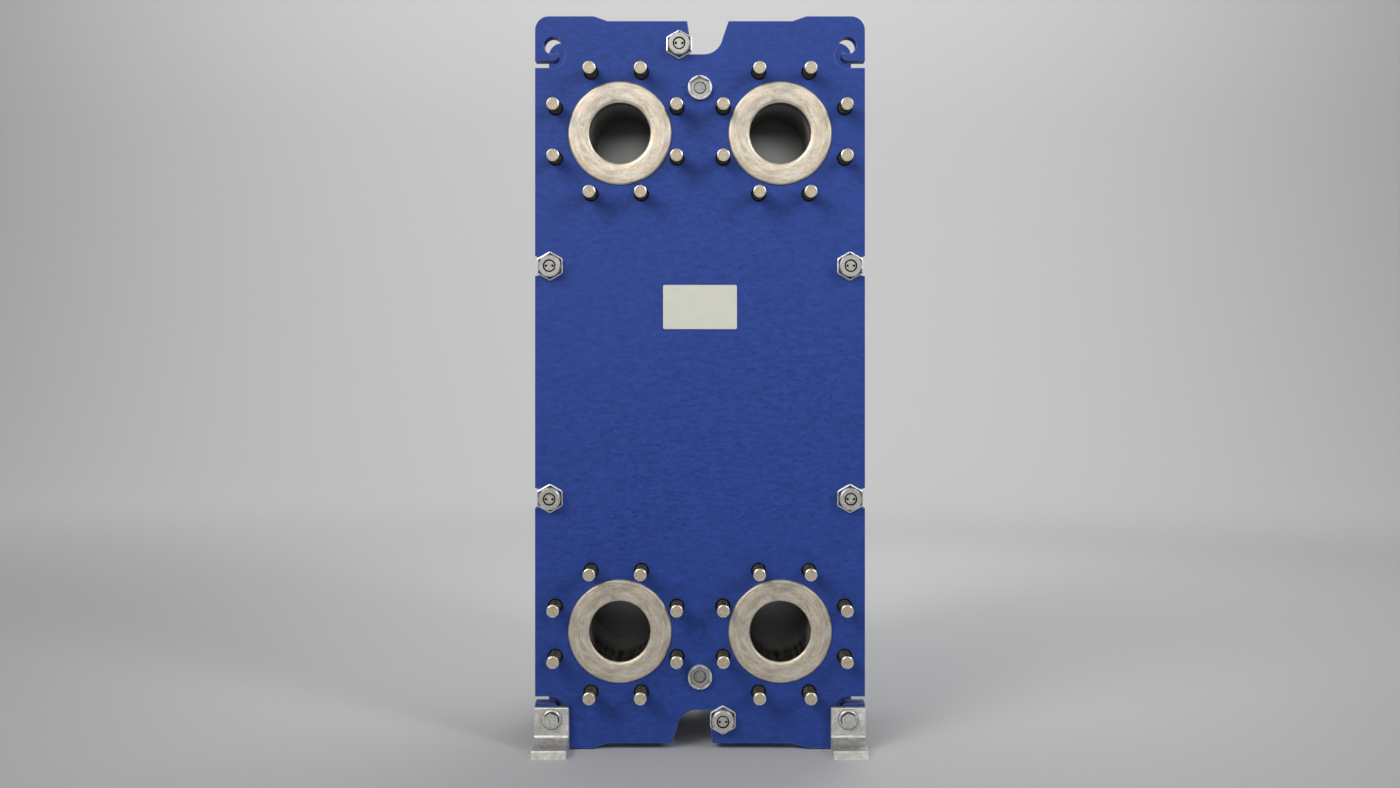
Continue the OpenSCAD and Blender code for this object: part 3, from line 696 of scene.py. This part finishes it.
def make_studs(corner):
    """Threaded studs, each with a chamfer round its dished end; the chamfer's light colour is a painted
    highlight, and the thread's darkness painted shade.
    """
    node = "port_studs_" + corner
    tip_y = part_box(node)[0].y
    tip_r, rim_y = stud_r - STUD_CHAMFER, tip_y + 0.45 * STUD_CHAMFER
    root_r = stud_r - THREAD_DEPTH * STUD_PITCH
    thread, rim, sides = 1, 2, 32
    bm = bmesh.new()
    for at in stud_places(corner):
        threaded(bm, at, front_y + MOUTH_DEPTH / 2, rim_y, stud_r, STUD_PITCH, 0, thread)
        lathe(bm, at, [(root_r, rim_y), (stud_r - NEAR, rim_y), (tip_r, tip_y)], sides, rim)
        lathe(bm, at, [(tip_r, tip_y), (0.6 * tip_r, tip_y + 0.15 * STUD_DISH), (0, tip_y + STUD_DISH)],
              sides)
    studs = shown(node + "_shape", bm, [STUD_FACE, THREAD_SHADE, STUD_RIM_HIGHLIGHT], [node])
    crisp(studs.data, rim)


# ---- nuts, bolts and washers -------------------------------------------------

BOLT_AF, BOLT_FACE_R, BOLT_PITCH, BOLT_CHAMFER = 37 * MM, 16.25 * MM, 3 * MM, 2 * MM
THREAD_REACH = 60 * MM
BASE_H, GROOVE, LIP_W, LIP_FALL, CORNER_CUT = 5 * MM, 1.6 * MM, 2 * MM, 0.5 * MM, 0.8 * MM
BOSS_R, BOSS_BEVEL, BOSS_FALL = 15.7 * MM, 1.3 * MM, 0.9 * MM
TIP_R, TIP_L, TIP_GAP = 7.5 * MM, 6 * MM, 1.4 * MM
TIP_HOLE_R, TIP_HOLE_DX = 1.9 * MM, 9.4 * MM
BAR_END_R, BAR_PITCH, FLANGE_SIDES = 8 * MM, 2 * MM, 64
bolt_places = [axis_of("tightening_bolt_" + name) for name in BOLTS]
bolt_lo, bolt_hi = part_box("tightening_bolt_" + BOLTS[-1])
bolt_r, bolt_tip_y = (bolt_hi.x - bolt_lo.x) / 2, bolt_lo.y


def make_bolt(name):
    """Tightening bolt: a thinner tip with two holes, a plain shank, and a threaded rear half."""
    node = "tightening_bolt_" + name
    at = axis_of(node)
    end_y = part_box(node)[1].y
    # The tip's side, inside the nut's bore, and the walls of its two holes take near-black painted shade.
    edge, gap_shade, drill_sides = 0.4 * MM, 1, 24
    thread_y = cover_y - THREAD_REACH
    shank_y = bolt_tip_y + TIP_L
    bm = bmesh.new()
    lathe(bm, at, [(0, bolt_tip_y), (TIP_R - edge, bolt_tip_y)], ROUND)
    lathe(bm, at, [(TIP_R - edge, bolt_tip_y), (TIP_R, bolt_tip_y + edge), (TIP_R, shank_y),
                   (bolt_r - edge, shank_y), (bolt_r, shank_y + edge)], ROUND, gap_shade)
    lathe(bm, at, [(bolt_r, shank_y + edge), (bolt_r, thread_y - edge), (bolt_r - 2 * edge, thread_y + edge),
                   (0, thread_y + edge)], ROUND)
    drills = bmesh.new()
    drilled = [(at[0] + side * TIP_HOLE_DX / 2, at[1]) for side in (-1, 1)]
    for hole in drilled:
        rim = circle(hole, TIP_HOLE_R, drill_sides)
        prism(drills, rim, DEEP, bolt_tip_y - MM, bolt_tip_y + TIP_L / 2)
    body = cut(mesh_from(bm), drills)
    for face in body.polygons:
        x, y, z = face.center
        if y > bolt_tip_y + NEAR and any(math.dist((x, z), hole) < TIP_HOLE_R + NEAR for hole in drilled):
            face.material_index = gap_shade
    bm = bmesh.new()
    bm.from_mesh(body)
    threaded(bm, at, thread_y, end_y, bolt_r, BOLT_PITCH, BOLT_CHAMFER)
    lathe(bm, at, [(bolt_r - BOLT_CHAMFER, end_y), (0, end_y)], THREAD_SIDES)
    shown(node + "_shape", bm, [NUT, GAP_SHADE], [node])


def make_front_nuts():
    """Round bosses on thin hexagonal bases, each base with a lip round a groove."""
    lo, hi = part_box("front_nuts")
    base, face = hi.y, lo.y
    top, floor = base - BASE_H, base - BASE_H + GROOVE
    bevel_y, bevel_r, bore = face + BOSS_FALL, BOSS_R - BOSS_BEVEL, TIP_R + TIP_GAP
    edge, around = 0.35 * MM, 144
    # The groove takes painted shade, the bore near-black painted shade, and the outer lip and the boss's
    # bevel a lighter, shinier zinc as painted highlight.
    painted_shade, gap_shade, sheen = 1, 2, 3
    outer, groove = [], []
    for i in range(around):
        turn = math.tau * i / around
        rim = min(hex_radius(BOLT_AF, turn), BOLT_AF / math.sqrt(3) - CORNER_CUT)
        lip = hex_radius(BOLT_AF - 2 * LIP_W, turn)
        outer.append([(bolt_r, base), (rim - edge, base), (rim, base - edge), (rim, top + LIP_FALL),
                      (lip + edge, top), (lip, top + edge)])
        groove.append([(lip, top + edge), (lip, floor), (BOSS_R, floor), (BOSS_R, top)])
    bm = bmesh.new()
    for at in bolt_places:
        turned(bm, at, outer, sheen)
        turned(bm, at, groove, painted_shade)
        lathe(bm, at, [(BOSS_R, top), (BOSS_R, bevel_y)], around)
        lathe(bm, at, [(BOSS_R, bevel_y), (bevel_r, face)], around, sheen)
        lathe(bm, at, [(bevel_r, face), (bore + edge, face)], around)
        lathe(bm, at, [(bore + edge, face), (bore, face + edge), (bore, face + TIP_L), (bolt_r, face + TIP_L),
                       (bolt_r, base)], around, gap_shade)
    shown("front_nuts_shape", bm, [NUT, PAINTED_SHADE, GAP_SHADE, LIP_SHEEN], ["front_nuts"])


def make_nuts(node, places, across, face_r, bore_r, edge):
    """Plain hexagonal nuts."""
    lo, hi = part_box(node)
    bm = bmesh.new()
    for at in places:
        hexagonal(bm, at, lo.y, hi.y, across, face_r, bore_r, edge)
    shown(node + "_shape", bm, [NUT], [node])


SOCKET_AF, SOCKET_DEPTH, SOCKET_STEP, SOCKET_RING = 28.4 * MM, 6 * MM, 0.8 * MM, 1 * MM
SOCKET_TURN = math.radians(5)


def make_socket_nuts():
    """Round nuts on the bars' front ends, each with a stepped hexagonal socket that shows the bar's end."""
    lo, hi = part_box("front_bar_nuts")
    outer_r, sleeve_r, edge = (hi.x - lo.x) / 2, 12 * MM, 0.7 * MM
    floor, around = lo.y + SOCKET_DEPTH, 144
    ring_r, ledge = BAR_END_R + SOCKET_RING, (floor + lo.y) / 2
    # The socket's walls take painted shade, the ring round the bar's end near-black painted shade, and the
    # outside a lighter zinc as painted highlight.
    plain, painted_shade, gap_shade, bright = range(4)
    shell, upper, step, lower, bottom = [], [], [], [], []
    for i in range(around):
        socket = hex_radius(SOCKET_AF, math.tau * i / around - SOCKET_TURN)
        inner = socket - SOCKET_STEP
        shell.append([(BAR_END_R, hi.y), (sleeve_r, hi.y), (sleeve_r, front_y), (outer_r, front_y),
                      (outer_r, lo.y + edge), (outer_r - 0.3 * edge, lo.y + 0.3 * edge),
                      (outer_r - edge, lo.y), (socket + 0.5 * edge, lo.y), (socket, lo.y + 0.5 * edge)])
        upper.append([(socket, lo.y + 0.5 * edge), (socket, ledge)])
        step.append([(socket, ledge), (inner, ledge + 0.3 * edge)])
        lower.append([(inner, ledge + 0.3 * edge), (inner, floor)])
        bottom.append([(inner, floor), (ring_r + 0.3 * edge, floor), (ring_r, floor + 0.3 * edge)])
    ring = [[(ring_r, floor + 0.3 * edge), (ring_r, floor + SOCKET_RING), (BAR_END_R, floor + SOCKET_RING),
             (BAR_END_R, hi.y)]] * around
    parts = ((shell, bright), (upper, painted_shade), (step, plain), (lower, painted_shade), (bottom, plain), (ring, gap_shade))
    bm = bmesh.new()
    for bar in ("carrying_bar", "guide_bar"):
        for profiles, index in parts:
            turned(bm, axis_of(bar), profiles, index)
    shown("front_bar_nuts_shape", bm, [NUT, PAINTED_SHADE, GAP_SHADE, NUT_LIP_HIGHLIGHT], ["front_bar_nuts"])


def make_flange_nuts():
    """Flange nuts on the bars' rear ends."""
    lo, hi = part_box("rear_bar_nuts")
    flange_r, af, rim, cone, sunk, edge = (hi.x - lo.x) / 2, 25 * MM, 1.4 * MM, 4 * MM, 1.5 * MM, 0.4 * MM
    bm = bmesh.new()
    for bar in ("carrying_bar", "guide_bar"):
        at = axis_of(bar)
        flange = [(BAR_END_R, 0), (flange_r - edge, 0), (flange_r, edge), (flange_r, rim - edge),
                  (flange_r - edge, rim), (af / 2, cone), (BAR_END_R, cone)]
        lathe(bm, at, [(r, lo.y + h) for r, h in flange], FLANGE_SIDES)
        hexagonal(bm, at, lo.y + sunk, hi.y, af, 0.47 * af, BAR_END_R, edge)
    shown("rear_bar_nuts_shape", bm, [NUT], ["rear_bar_nuts"])


def make_washers(node, places, hole_r):
    lo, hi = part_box(node)
    outer_r, edge = hi.x - max(x for x, _ in places), 0.4 * MM
    profile = [(hole_r, lo.y), (outer_r - edge, lo.y), (outer_r, lo.y + edge), (outer_r, hi.y - edge),
               (outer_r - edge, hi.y), (hole_r + edge, hi.y), (hole_r, hi.y - edge), (hole_r, lo.y)]
    bm = bmesh.new()
    for at in places:
        lathe(bm, at, profile, ROUND)
    shown(node + "_shape", bm, [NUT], [node])


# ---- feet --------------------------------------------------------------------

FOOT_T, FOOT_EDGE, RUB_DEPTH, RUB_HEIGHT = 12 * MM, 1.6 * MM, 0.9 * MM, 1.7 * MM
BEND_GUIDES, BEND_SHARES, BEND_STEPS = ((0, 12), (0.7, 9), (4, 3.5), (13, 0)), (1, 3, 3, 1), 12
FOOT_AF, FOOT_BOLT_R, FOOT_PITCH, FOOT_HEAD_H = 20 * MM, 6 * MM, 1.75 * MM, 9 * MM
FOOT_HEAD_TURN, FOOT_HEAD_SIDE = math.radians(7), 5.5 * MM
FLANGE_CONE, FLANGE_STEP, FLANGE_T, FLANGE_RIM = 1.9 * MM, 2.3 * MM, 2.5 * MM, 0.8 * MM
foot_bolt_lo, foot_bolt_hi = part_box("foot_bolts")
foot_bolt_z = (foot_bolt_lo.z + foot_bolt_hi.z) / 2
foot_flange_r = (foot_bolt_hi.z - foot_bolt_lo.z) / 2
foot_bolt_places = [(side * (foot_bolt_hi.x - foot_flange_r), foot_bolt_z) for side in (-1, 1)]


def foot_bend(leg_y):
    """Inner bend of a foot from its upright leg to its toe, steep at the top and easing off below."""
    points = []
    for i in range(BEND_STEPS + 1):
        t = i / BEND_STEPS
        weights = [share * t ** k * (1 - t) ** (3 - k) for k, share in enumerate(BEND_SHARES)]
        along, up = (sum(w * guide[axis] for w, guide in zip(weights, BEND_GUIDES)) for axis in (0, 1))
        points.append((leg_y - along * MM, FOOT_T + up * MM))
    return points


def make_foot(side, at):
    """Bent angle: one leg flat on the plate, the toe on the floor with a slot for an anchor."""
    node = "foot_" + side
    lo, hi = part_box(node)
    slot = MOUNTS["feet_anchor_slots"]
    slot_at = ((lo.x + hi.x) / 2, slot["pos_m"][1])
    length = slot["dims"]["slot_length_mm"] * MM
    width = 2 * slot["dims"]["hole_r_mm"] * MM
    leg_y, reach, hole_r, hole_sides = hi.y - FOOT_T, FOOT_T + 2 * MM, FOOT_BOLT_R + 0.5 * MM, 32
    bend = foot_bend(leg_y)
    bend_top = bend[0][1]
    band_low, band_high = bend_top - 3.2 * MM, bend_top - 0.5 * MM
    outline = [(hi.y, 0), (hi.y, hi.z), (leg_y + RUB_DEPTH, hi.z), (leg_y, hi.z - RUB_HEIGHT)] + bend
    outline += [(lo.y + RUB_DEPTH, FOOT_T), (lo.y, FOOT_T - RUB_HEIGHT), (lo.y, 0)]
    tools = bmesh.new()
    prism(tools, oblong(slot_at, length, width), UP, -MM, reach)
    prism(tools, circle(at, hole_r, hole_sides), DEEP, hi.y - reach, hi.y + MM)
    body = cut(slab([outline], ACROSS, lo.x, hi.x, FOOT_EDGE), tools)
    # Darker copies of the zinc on the upward faces, the slot and the leg's top are painted shade; a lighter
    # copy on the toe's front and a lighter, shinier one on the edge facets and the bend's top band are
    # painted highlight.
    toe_top_shade, toe_end_highlight, foot_highlight, dull = 1, 2, 3, 4
    for face in body.polygons:
        spot, normal = face.center, face.normal
        in_slot = math.dist((spot.x, spot.y), slot_at) < length / 2 + NEAR
        on_toe = spot.y < lo.y + 2 * MM
        on_leg = spot.z > bend_top + MM
        on_edge = on_toe or on_leg or band_low < spot.z < band_high
        forward, sloping, upward = normal.y < -0.3, 0.1 < normal.z < 0.75, normal.z > 0.9
        if on_edge and sloping and forward and not in_slot:
            face.material_index = foot_highlight
        elif on_toe and forward:
            face.material_index = toe_end_highlight
        elif upward and on_leg:
            face.material_index = dull
        elif normal.z > 0.1 or in_slot:
            face.material_index = toe_top_shade
    foot = shown(node + "_shape", body, [GALVANISED, TOE_TOP_SHADE, TOE_END_HIGHLIGHT, FOOT_HIGHLIGHT, LEG_TOP_SHADE], [node])
    crisp(foot.data, foot_highlight)


def make_foot_bolts():
    """Hexagonal heads on hollow flanges, with a threaded shank behind each."""
    lo, hi = foot_bolt_lo, foot_bolt_hi
    flange_y, edge = lo.y + FOOT_HEAD_H, 0.4 * MM
    face_r, seat_r, rim_r = 0.55 * FOOT_AF, 0.57 * FOOT_AF, foot_flange_r - FLANGE_RIM
    seat_y, cone_y = flange_y + 0.3 * edge, flange_y + FLANGE_CONE
    step_y, back_y = flange_y + FLANGE_STEP, flange_y + FLANGE_T
    # The seat under the head, the flange's outer step and back, and the head's sides near the flange take
    # painted shade; the flange's cone a lighter zinc as painted highlight.
    painted_shade, lip = 1, 2
    bm = bmesh.new()
    for at in foot_bolt_places:
        hexagonal(bm, at, flange_y + edge, lo.y, FOOT_AF, face_r, 0, edge, turned_by=FOOT_HEAD_TURN)
        lathe(bm, at, [(0.3 * FOOT_AF, flange_y), (seat_r, seat_y)], FLANGE_SIDES, painted_shade)
        lathe(bm, at, [(seat_r, seat_y), (rim_r, cone_y)], FLANGE_SIDES, lip)
        lathe(bm, at, [(rim_r, cone_y), (rim_r, step_y), (foot_flange_r, step_y), (foot_flange_r, back_y),
                       (0, back_y)], FLANGE_SIDES, painted_shade)
        threaded(bm, at, back_y, hi.y, FOOT_BOLT_R, FOOT_PITCH, MM)
        lathe(bm, at, [(FOOT_BOLT_R - MM, hi.y), (0, hi.y)], THREAD_SIDES)
    mesh = mesh_from(bm)
    # The head's sides next to the flange take painted shade.
    for face in mesh.polygons:
        if flange_y - FOOT_HEAD_SIDE < face.center.y < flange_y and abs(face.normal.y) < 0.3:
            face.material_index = painted_shade
    shown("foot_bolts_shape", mesh, [FOOT_BOLT, PAINTED_SHADE, NUT_LIP_HIGHLIGHT], ["foot_bolts"])


# ---- bars --------------------------------------------------------------------


def make_bar(node):
    """Flat bar between the frame plate and the column, with a threaded end through each."""
    lo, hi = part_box(node)
    column_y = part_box("support_column")[0].y
    at, tip = (0.0, (lo.z + hi.z) / 2), 1
    section = [(lo.x, lo.z), (hi.x, lo.z), (hi.x, hi.z), (lo.x, hi.z)]
    bm = bmesh.new()
    bm.from_mesh(slab([section], DEEP, plate_hi.y, column_y, EDGE))
    for start, end in ((plate_hi.y + MM, lo.y), (column_y - MM, hi.y)):
        threaded(bm, at, start, end, BAR_END_R, BAR_PITCH, MM)
        lathe(bm, at, [(BAR_END_R - MM, end), (0, end)], THREAD_SIDES, tip)
    shown(node + "_shape", bm, [GALVANISED, BAR_TIP], [node])


# ---- channel plates ----------------------------------------------------------

PLATES, SHEET = 64, 0.6 * MM
PITCH = (pack_end_y - pack_lo.y) / PLATES
PACK_CORNER, BAR_CLEAR = 30 * MM, 2 * MM
RIM, GASKET = 5 * MM, 8 * MM
WAVE, WAVE_STEPS, CREST = 24 * MM, 6, 1.35
PORT_HOLE_R, PORT_RIM, PORT_WAVES, PORT_WAVE_STEPS = port_r + 3 * MM, 5 * MM, 44, 4


def pack_side(side):
    """Points and outward normals along one side of a sheet's edge, from one bar's recess to the other's."""
    bar_lo, bar_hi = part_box("carrying_bar")
    recess = (bar_hi.x - bar_lo.x) / 2 + BAR_CLEAR
    half_w, low, high = pack_hi.x, pack_lo.z, pack_hi.z
    path = []

    def straight(start, end, normal):
        count = max(2, round((Vector(end) - Vector(start)).length / WAVE * WAVE_STEPS))
        for i in range(count):
            path.append((Vector(start).lerp(Vector(end), i / count), Vector(normal)))

    def bend(centre, start_turn):
        count = round(PACK_CORNER * math.pi / 2 / WAVE * WAVE_STEPS)
        for i in range(count):
            turn = start_turn - math.pi / 2 * i / count
            normal = Vector((math.cos(turn), math.sin(turn)))
            path.append((Vector(centre) + PACK_CORNER * normal, normal))

    straight((recess, high), (half_w - PACK_CORNER, high), (0, 1))
    bend((half_w - PACK_CORNER, high - PACK_CORNER), math.pi / 2)
    straight((half_w, high - PACK_CORNER), (half_w, low + PACK_CORNER), (1, 0))
    bend((half_w - PACK_CORNER, low + PACK_CORNER), 0)
    straight((half_w - PACK_CORNER, low), (recess, low), (0, -1))
    path.append((Vector((recess, low)), Vector((0, -1))))
    return [(Vector((side * p.x, p.y)), Vector((side * n.x, n.y))) for p, n in path]


def wave_at(step, steps):
    """Height of a wave with flattened crests, from -1 to 1."""
    return max(-1.0, min(1.0, CREST * math.sin(math.tau * (step + 0.5) / steps)))


def corrugated(name, path, steps, lip, closed):
    """Waved edges of all the sheets along a path of points and outward normals, as one mesh.

    A wave takes steps points, and each sheet's waves mirror its neighbours'. lip is how far an edge
    reaches back from the path.
    """
    swing = (PITCH - SHEET) / 2
    verts, faces = [], []
    for plate in range(PLATES):
        y = pack_lo.y + plate * PITCH
        base = len(verts)
        for step, (point, normal) in enumerate(path):
            shift = swing * wave_at(step, steps) * (1 if plate % 2 else -1)
            if plate == 0:
                shift = max(shift, 0)
            inner = point - normal * lip
            for (u, v), dy in ((inner, 0), (point, shift), (point, shift + SHEET), (inner, SHEET)):
                verts.append((u, y + dy, v))
        for step in range(len(path) if closed else len(path) - 1):
            a, b = base + 4 * step, base + 4 * ((step + 1) % len(path))
            for k in range(3):
                faces.append((a + k, a + k + 1, b + k + 1, b + k))
    mesh = bpy.data.meshes.new(name)
    mesh.from_pydata(verts, [], faces)
    mesh.update()
    return mesh


def make_rims(name, side):
    """Corrugated rims that stand out past the gaskets, on one side of the pack."""
    mesh = corrugated(name, pack_side(side), WAVE_STEPS, RIM + MM, closed=False)
    shown(name, mesh, [STEEL], ["channel_plates"])


def make_port_edges(corner):
    """Corrugated edges of the sheets round one port channel. Its origin is the middle of the mouth."""
    name = "port_edges_" + corner
    centre = middle("port_liner_" + corner)
    count = PORT_WAVES * PORT_WAVE_STEPS
    rays = [Vector(ray) for ray in circle((0, 0), 1, count)]
    path = [(Vector((centre.x, centre.z)) + PORT_HOLE_R * ray, -ray) for ray in rays]
    mesh = corrugated(name, path, PORT_WAVE_STEPS, PORT_RIM, closed=True)
    shown(name, mesh, [BORE], ["channel_plates"], (centre.x, front_y, centre.z))


def make_pack_core():
    """The pressed fields inside the gaskets, with the four port channels through them."""
    bar_lo, bar_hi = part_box("carrying_bar")
    inset = RIM + GASKET
    half_w, low, high = pack_hi.x - inset, pack_lo.z + inset, pack_hi.z - inset
    recess = (bar_hi.x - bar_lo.x) / 2 + BAR_CLEAR + inset
    recess_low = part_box("guide_bar")[1].z + BAR_CLEAR + inset
    recess_high = bar_lo.z - BAR_CLEAR - inset
    outline = [(recess, high), (half_w, high), (half_w, low), (recess, low), (recess, recess_low),
               (-recess, recess_low), (-recess, low), (-half_w, low), (-half_w, high), (-recess, high),
               (-recess, recess_high), (recess, recess_high)]
    holes = [circle(axis_of("port_liner_" + corner), PORT_HOLE_R + PORT_RIM, 64) for corner in CORNERS]
    mesh = slab([outline] + holes, DEEP, pack_lo.y, pack_end_y, 0.2 * MM)
    shown("pack_core", mesh, [STEEL], ["channel_plates"])


# ---- the pieces --------------------------------------------------------------

make_frame_plate()
make_plain_slab("pressure_plate", DEEP, PAINT, edge=EDGE)
for corner in CORNERS:
    make_liner(corner)
    make_studs(corner)
    make_port_edges(corner)
for name in BOLTS:
    make_bolt(name)
make_front_nuts()
make_nuts("rear_nuts", bolt_places, BOLT_AF, BOLT_FACE_R, bolt_r, edge=0.6 * MM)
make_washers("rear_washers", bolt_places, bolt_r + 0.5 * MM)
make_socket_nuts()
make_flange_nuts()
make_bar("carrying_bar")
make_bar("guide_bar")
make_plain_slab("slide_pad", DEEP, BRONZE, edge=0.4 * MM)
make_plain_slab("support_column", UP, PAINT, edge=1.2 * MM)
make_plain_slab("column_base", UP, PAINT, edge=EDGE)
make_foot("left", foot_bolt_places[0])
make_foot("right", foot_bolt_places[1])
make_foot_bolts()
make_washers("foot_washers", foot_bolt_places, FOOT_BOLT_R + 0.5 * MM)
make_nuts("foot_nuts", foot_bolt_places, FOOT_AF, 0.47 * FOOT_AF, FOOT_BOLT_R, edge=0.4 * MM)
make_plain_slab("name_plate", DEEP, LACQUER, edge=0.5 * MM)
make_pack_core()
make_rims("plate_rims_left", -1)
make_rims("plate_rims_right", 1)
dressed("end_plate", BLIND)
dressed("plate_gaskets", RUBBER)

# ---- stage, light and camera -------------------------------------------------


def make_stage():
    """Pale floor that curves up into a pale backdrop behind the object."""
    look = Look("pale_floor", (0.80, 0.80, 0.79), 0.85)
    half, front, back, bend, top, steps = 6.0, -6.0, 5.2, 1.6, 6.0, 24
    line = [(front, 0.0), (back - bend, 0.0)]
    for i in range(1, steps + 1):
        t = math.pi / 2 * i / steps
        line.append((back - bend + bend * math.sin(t), bend - bend * math.cos(t)))
    line.append((back, top))
    bm = bmesh.new()
    rows = [[bm.verts.new((x, y, z)) for x in (-half, half)] for y, z in line]
    for a, b in zip(rows, rows[1:]):
        bm.faces.new((a[0], a[1], b[1], b[0]))
    mesh = bpy.data.meshes.new("pale_floor")
    bm.to_mesh(mesh)
    bm.free()
    mesh.materials.append(look.material)
    mesh.shade_smooth()
    floor = bpy.data.objects.new("pale_floor", mesh)
    bpy.context.scene.collection.objects.link(floor)


def add_light(name, place, aim, size, power, spread=180, color=(1, 1, 1)):
    """Rectangular light of some watts, with its spread in degrees, which the camera doesn't see."""
    data = bpy.data.lights.new(name, "AREA")
    data.shape = "RECTANGLE"
    data.size, data.size_y = size
    data.energy = power
    data.color = color
    data.spread = math.radians(spread)
    light = bpy.data.objects.new(name, data)
    light.location = place
    light.rotation_euler = (Vector(aim) - Vector(place)).to_track_quat("-Z", "Y").to_euler()
    light.visible_camera = False
    bpy.context.scene.collection.objects.link(light)


def make_lights():
    """Soft key from the upper left, weaker fill from the right and a front card, and lights for the rear."""
    upper = (0, front_y, 0.95)
    add_light("key", (-1.5, -2.4, 2.2), upper, (2.0, 2.0), 7.3, 56, (1.0, 0.985, 0.955))
    add_light("fill", (1.8, -2.2, 1.9), upper, (0.8, 1.6), 3.4, 60, (0.97, 0.98, 1.0))
    add_light("card", (0.0, -3.7, 1.75), upper, (2.8, 1.2), 3.5, 86, (1.0, 0.99, 0.97))
    add_light("top", (0.0, 0.7, 3.0), (0, 0.4, 0.5), (2.4, 2.0), 14)
    add_light("backdrop", (0.0, 2.9, 3.3), (0, 5.2, 0.9), (6.0, 0.8), 80)
    add_light("rear", (0.9, 2.3, 2.2), (0, 0.1, 0.5), (1.8, 1.2), 7, 110)
    world = bpy.data.worlds.new("studio")
    world.use_nodes = True
    sky = world.node_tree.nodes["Background"].inputs
    sky["Color"].default_value = (0.9, 0.93, 1.0, 1)
    sky["Strength"].default_value = 0.10
    bpy.context.scene.world = world


def make_camera():
    """Level camera, straight in front of the plate and a little above its middle."""
    distance, eye_height, lens, film, shift = 2.5, 0.600, 44.4, 36.0, -0.042
    data = bpy.data.cameras.new("camera")
    data.lens, data.sensor_width, data.shift_y = lens, film, shift
    camera = bpy.data.objects.new("camera", data)
    camera.location = (0, front_y - distance, eye_height)
    camera.rotation_euler = (math.pi / 2, 0, 0)
    bpy.context.scene.collection.objects.link(camera)
    bpy.context.scene.camera = camera


make_stage()
make_lights()
make_camera()
bpy.context.scene.view_settings.view_transform = "Standard"
